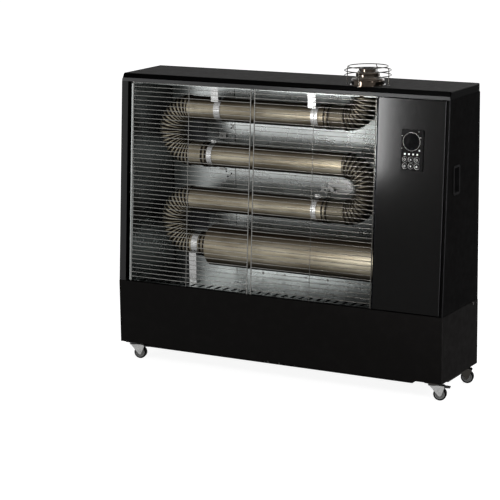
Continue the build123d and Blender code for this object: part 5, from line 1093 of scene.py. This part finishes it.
# Floor and surroundings: the floor's glow grows between two distances
FLOOR_SIZE = 60.0
FLOOR_REACH = (1.2, 4.5)
FLOOR_GLOW = (0.9, 1.0)
WORLD_LEVEL = 0.18

# Lamps: name, place, what they aim at, width, height, power and spread in degrees
LAMPS = (
    ("overhead", (0.0, 0.6, 3.4), (0.0, 0.0, 0.4), 3.2, 2.4, 42.0, 180.0),
    ("front_high", (-0.4, -3.0, 3.1), (0.0, 0.0, 0.6), 4.0, 1.2, 18.0, 180.0),
    ("front_left", (-2.1, -3.6, 1.0), (0.3, 0.0, 0.7), 1.2, 1.3, 20.0, 180.0),
    ("near_left", (-0.37, -1.415, 0.91), (0.62, -0.198, 0.95), 0.22, 0.62, 5.2, 50.0),
    ("right", (2.6, -1.6, 1.7), (0.2, 0.0, 0.9), 0.4, 1.2, 20.0, 180.0),
    ("right_rear", (2.8, 1.3, 1.9), (0.3, 0.0, 0.8), 0.5, 1.2, 16.0, 180.0),
    ("rear", (0.9, 3.4, 1.9), (0.0, 0.14, 0.5), 2.4, 1.2, 34.0, 180.0),
)


# Stage and light
def seen_rays(tree):
    """1 for rays that show the background: straight, mirrored or through glass."""
    path = tree.nodes.new("ShaderNodeLightPath").outputs
    total = path["Is Camera Ray"]
    for kind in ("Is Glossy Ray", "Is Transmission Ray"):
        larger = tree.nodes.new("ShaderNodeMath")
        larger.operation = "MAXIMUM"
        tree.links.new(total, larger.inputs[0])
        tree.links.new(path[kind], larger.inputs[1])
        total = larger.outputs[0]
    return total


def make_stage():
    """Large pale floor that turns to plain white far from the object."""
    mesh = bmesh.new()
    bmesh.ops.create_grid(mesh, x_segments=1, y_segments=1, size=FLOOR_SIZE)
    data = bpy.data.meshes.new("floor")
    mesh.to_mesh(data)
    mesh.free()
    floor = bpy.data.objects.new("floor", data)
    bpy.context.scene.collection.objects.link(floor)
    finish = Finish("floor_white", WHITE_FLOOR, rough=0.8, specular=0.1)
    seen = seen_rays(finish.tree)
    glow = finish.range(finish.vector("LENGTH", finish.place()), *FLOOR_REACH, *FLOOR_GLOW)
    finish.set("Emission Color", (*WHITE, 1.0))
    finish.feed("Emission Strength", finish.math("MULTIPLY", seen, glow))
    data.materials.append(finish.material)


def make_world():
    """Even grey surroundings, seen as white behind the object."""
    world = bpy.data.worlds.new("studio")
    world.use_nodes = True
    bpy.context.scene.world = world
    tree = world.node_tree
    background = tree.nodes["Background"]
    level = tree.nodes.new("ShaderNodeMapRange")
    level.inputs["To Min"].default_value = WORLD_LEVEL
    level.inputs["To Max"].default_value = 1.0
    tree.links.new(seen_rays(tree), level.inputs["Value"])
    tree.links.new(level.outputs[0], background.inputs["Strength"])
    background.inputs["Color"].default_value = (*WHITE, 1.0)


def soft_light(name, place, aim, width, height, power, spread):
    """Rectangular lamp at a place, turned towards what it aims at."""
    data = bpy.data.lights.new(name, "AREA")
    data.shape = "RECTANGLE"
    data.size = width
    data.size_y = height
    data.energy = power
    data.spread = math.radians(spread)
    lamp = bpy.data.objects.new(name, data)
    turn = (Vector(aim) - Vector(place)).to_track_quat("-Z", "Y")
    lamp.matrix_world = Matrix.Translation(place) @ turn.to_matrix().to_4x4()
    bpy.context.scene.collection.objects.link(lamp)


make_camera()
finishes = dress_nodes()
print_panel(finishes["print"])
print_keys(finishes["print"])
display_segments(finishes["side"])
reflector_details(finishes)
louvre_hoods(finishes["back"])
make_stage()
make_world()
for lamp in LAMPS:
    soft_light(*lamp)
bpy.context.scene.view_settings.view_transform = "Standard"
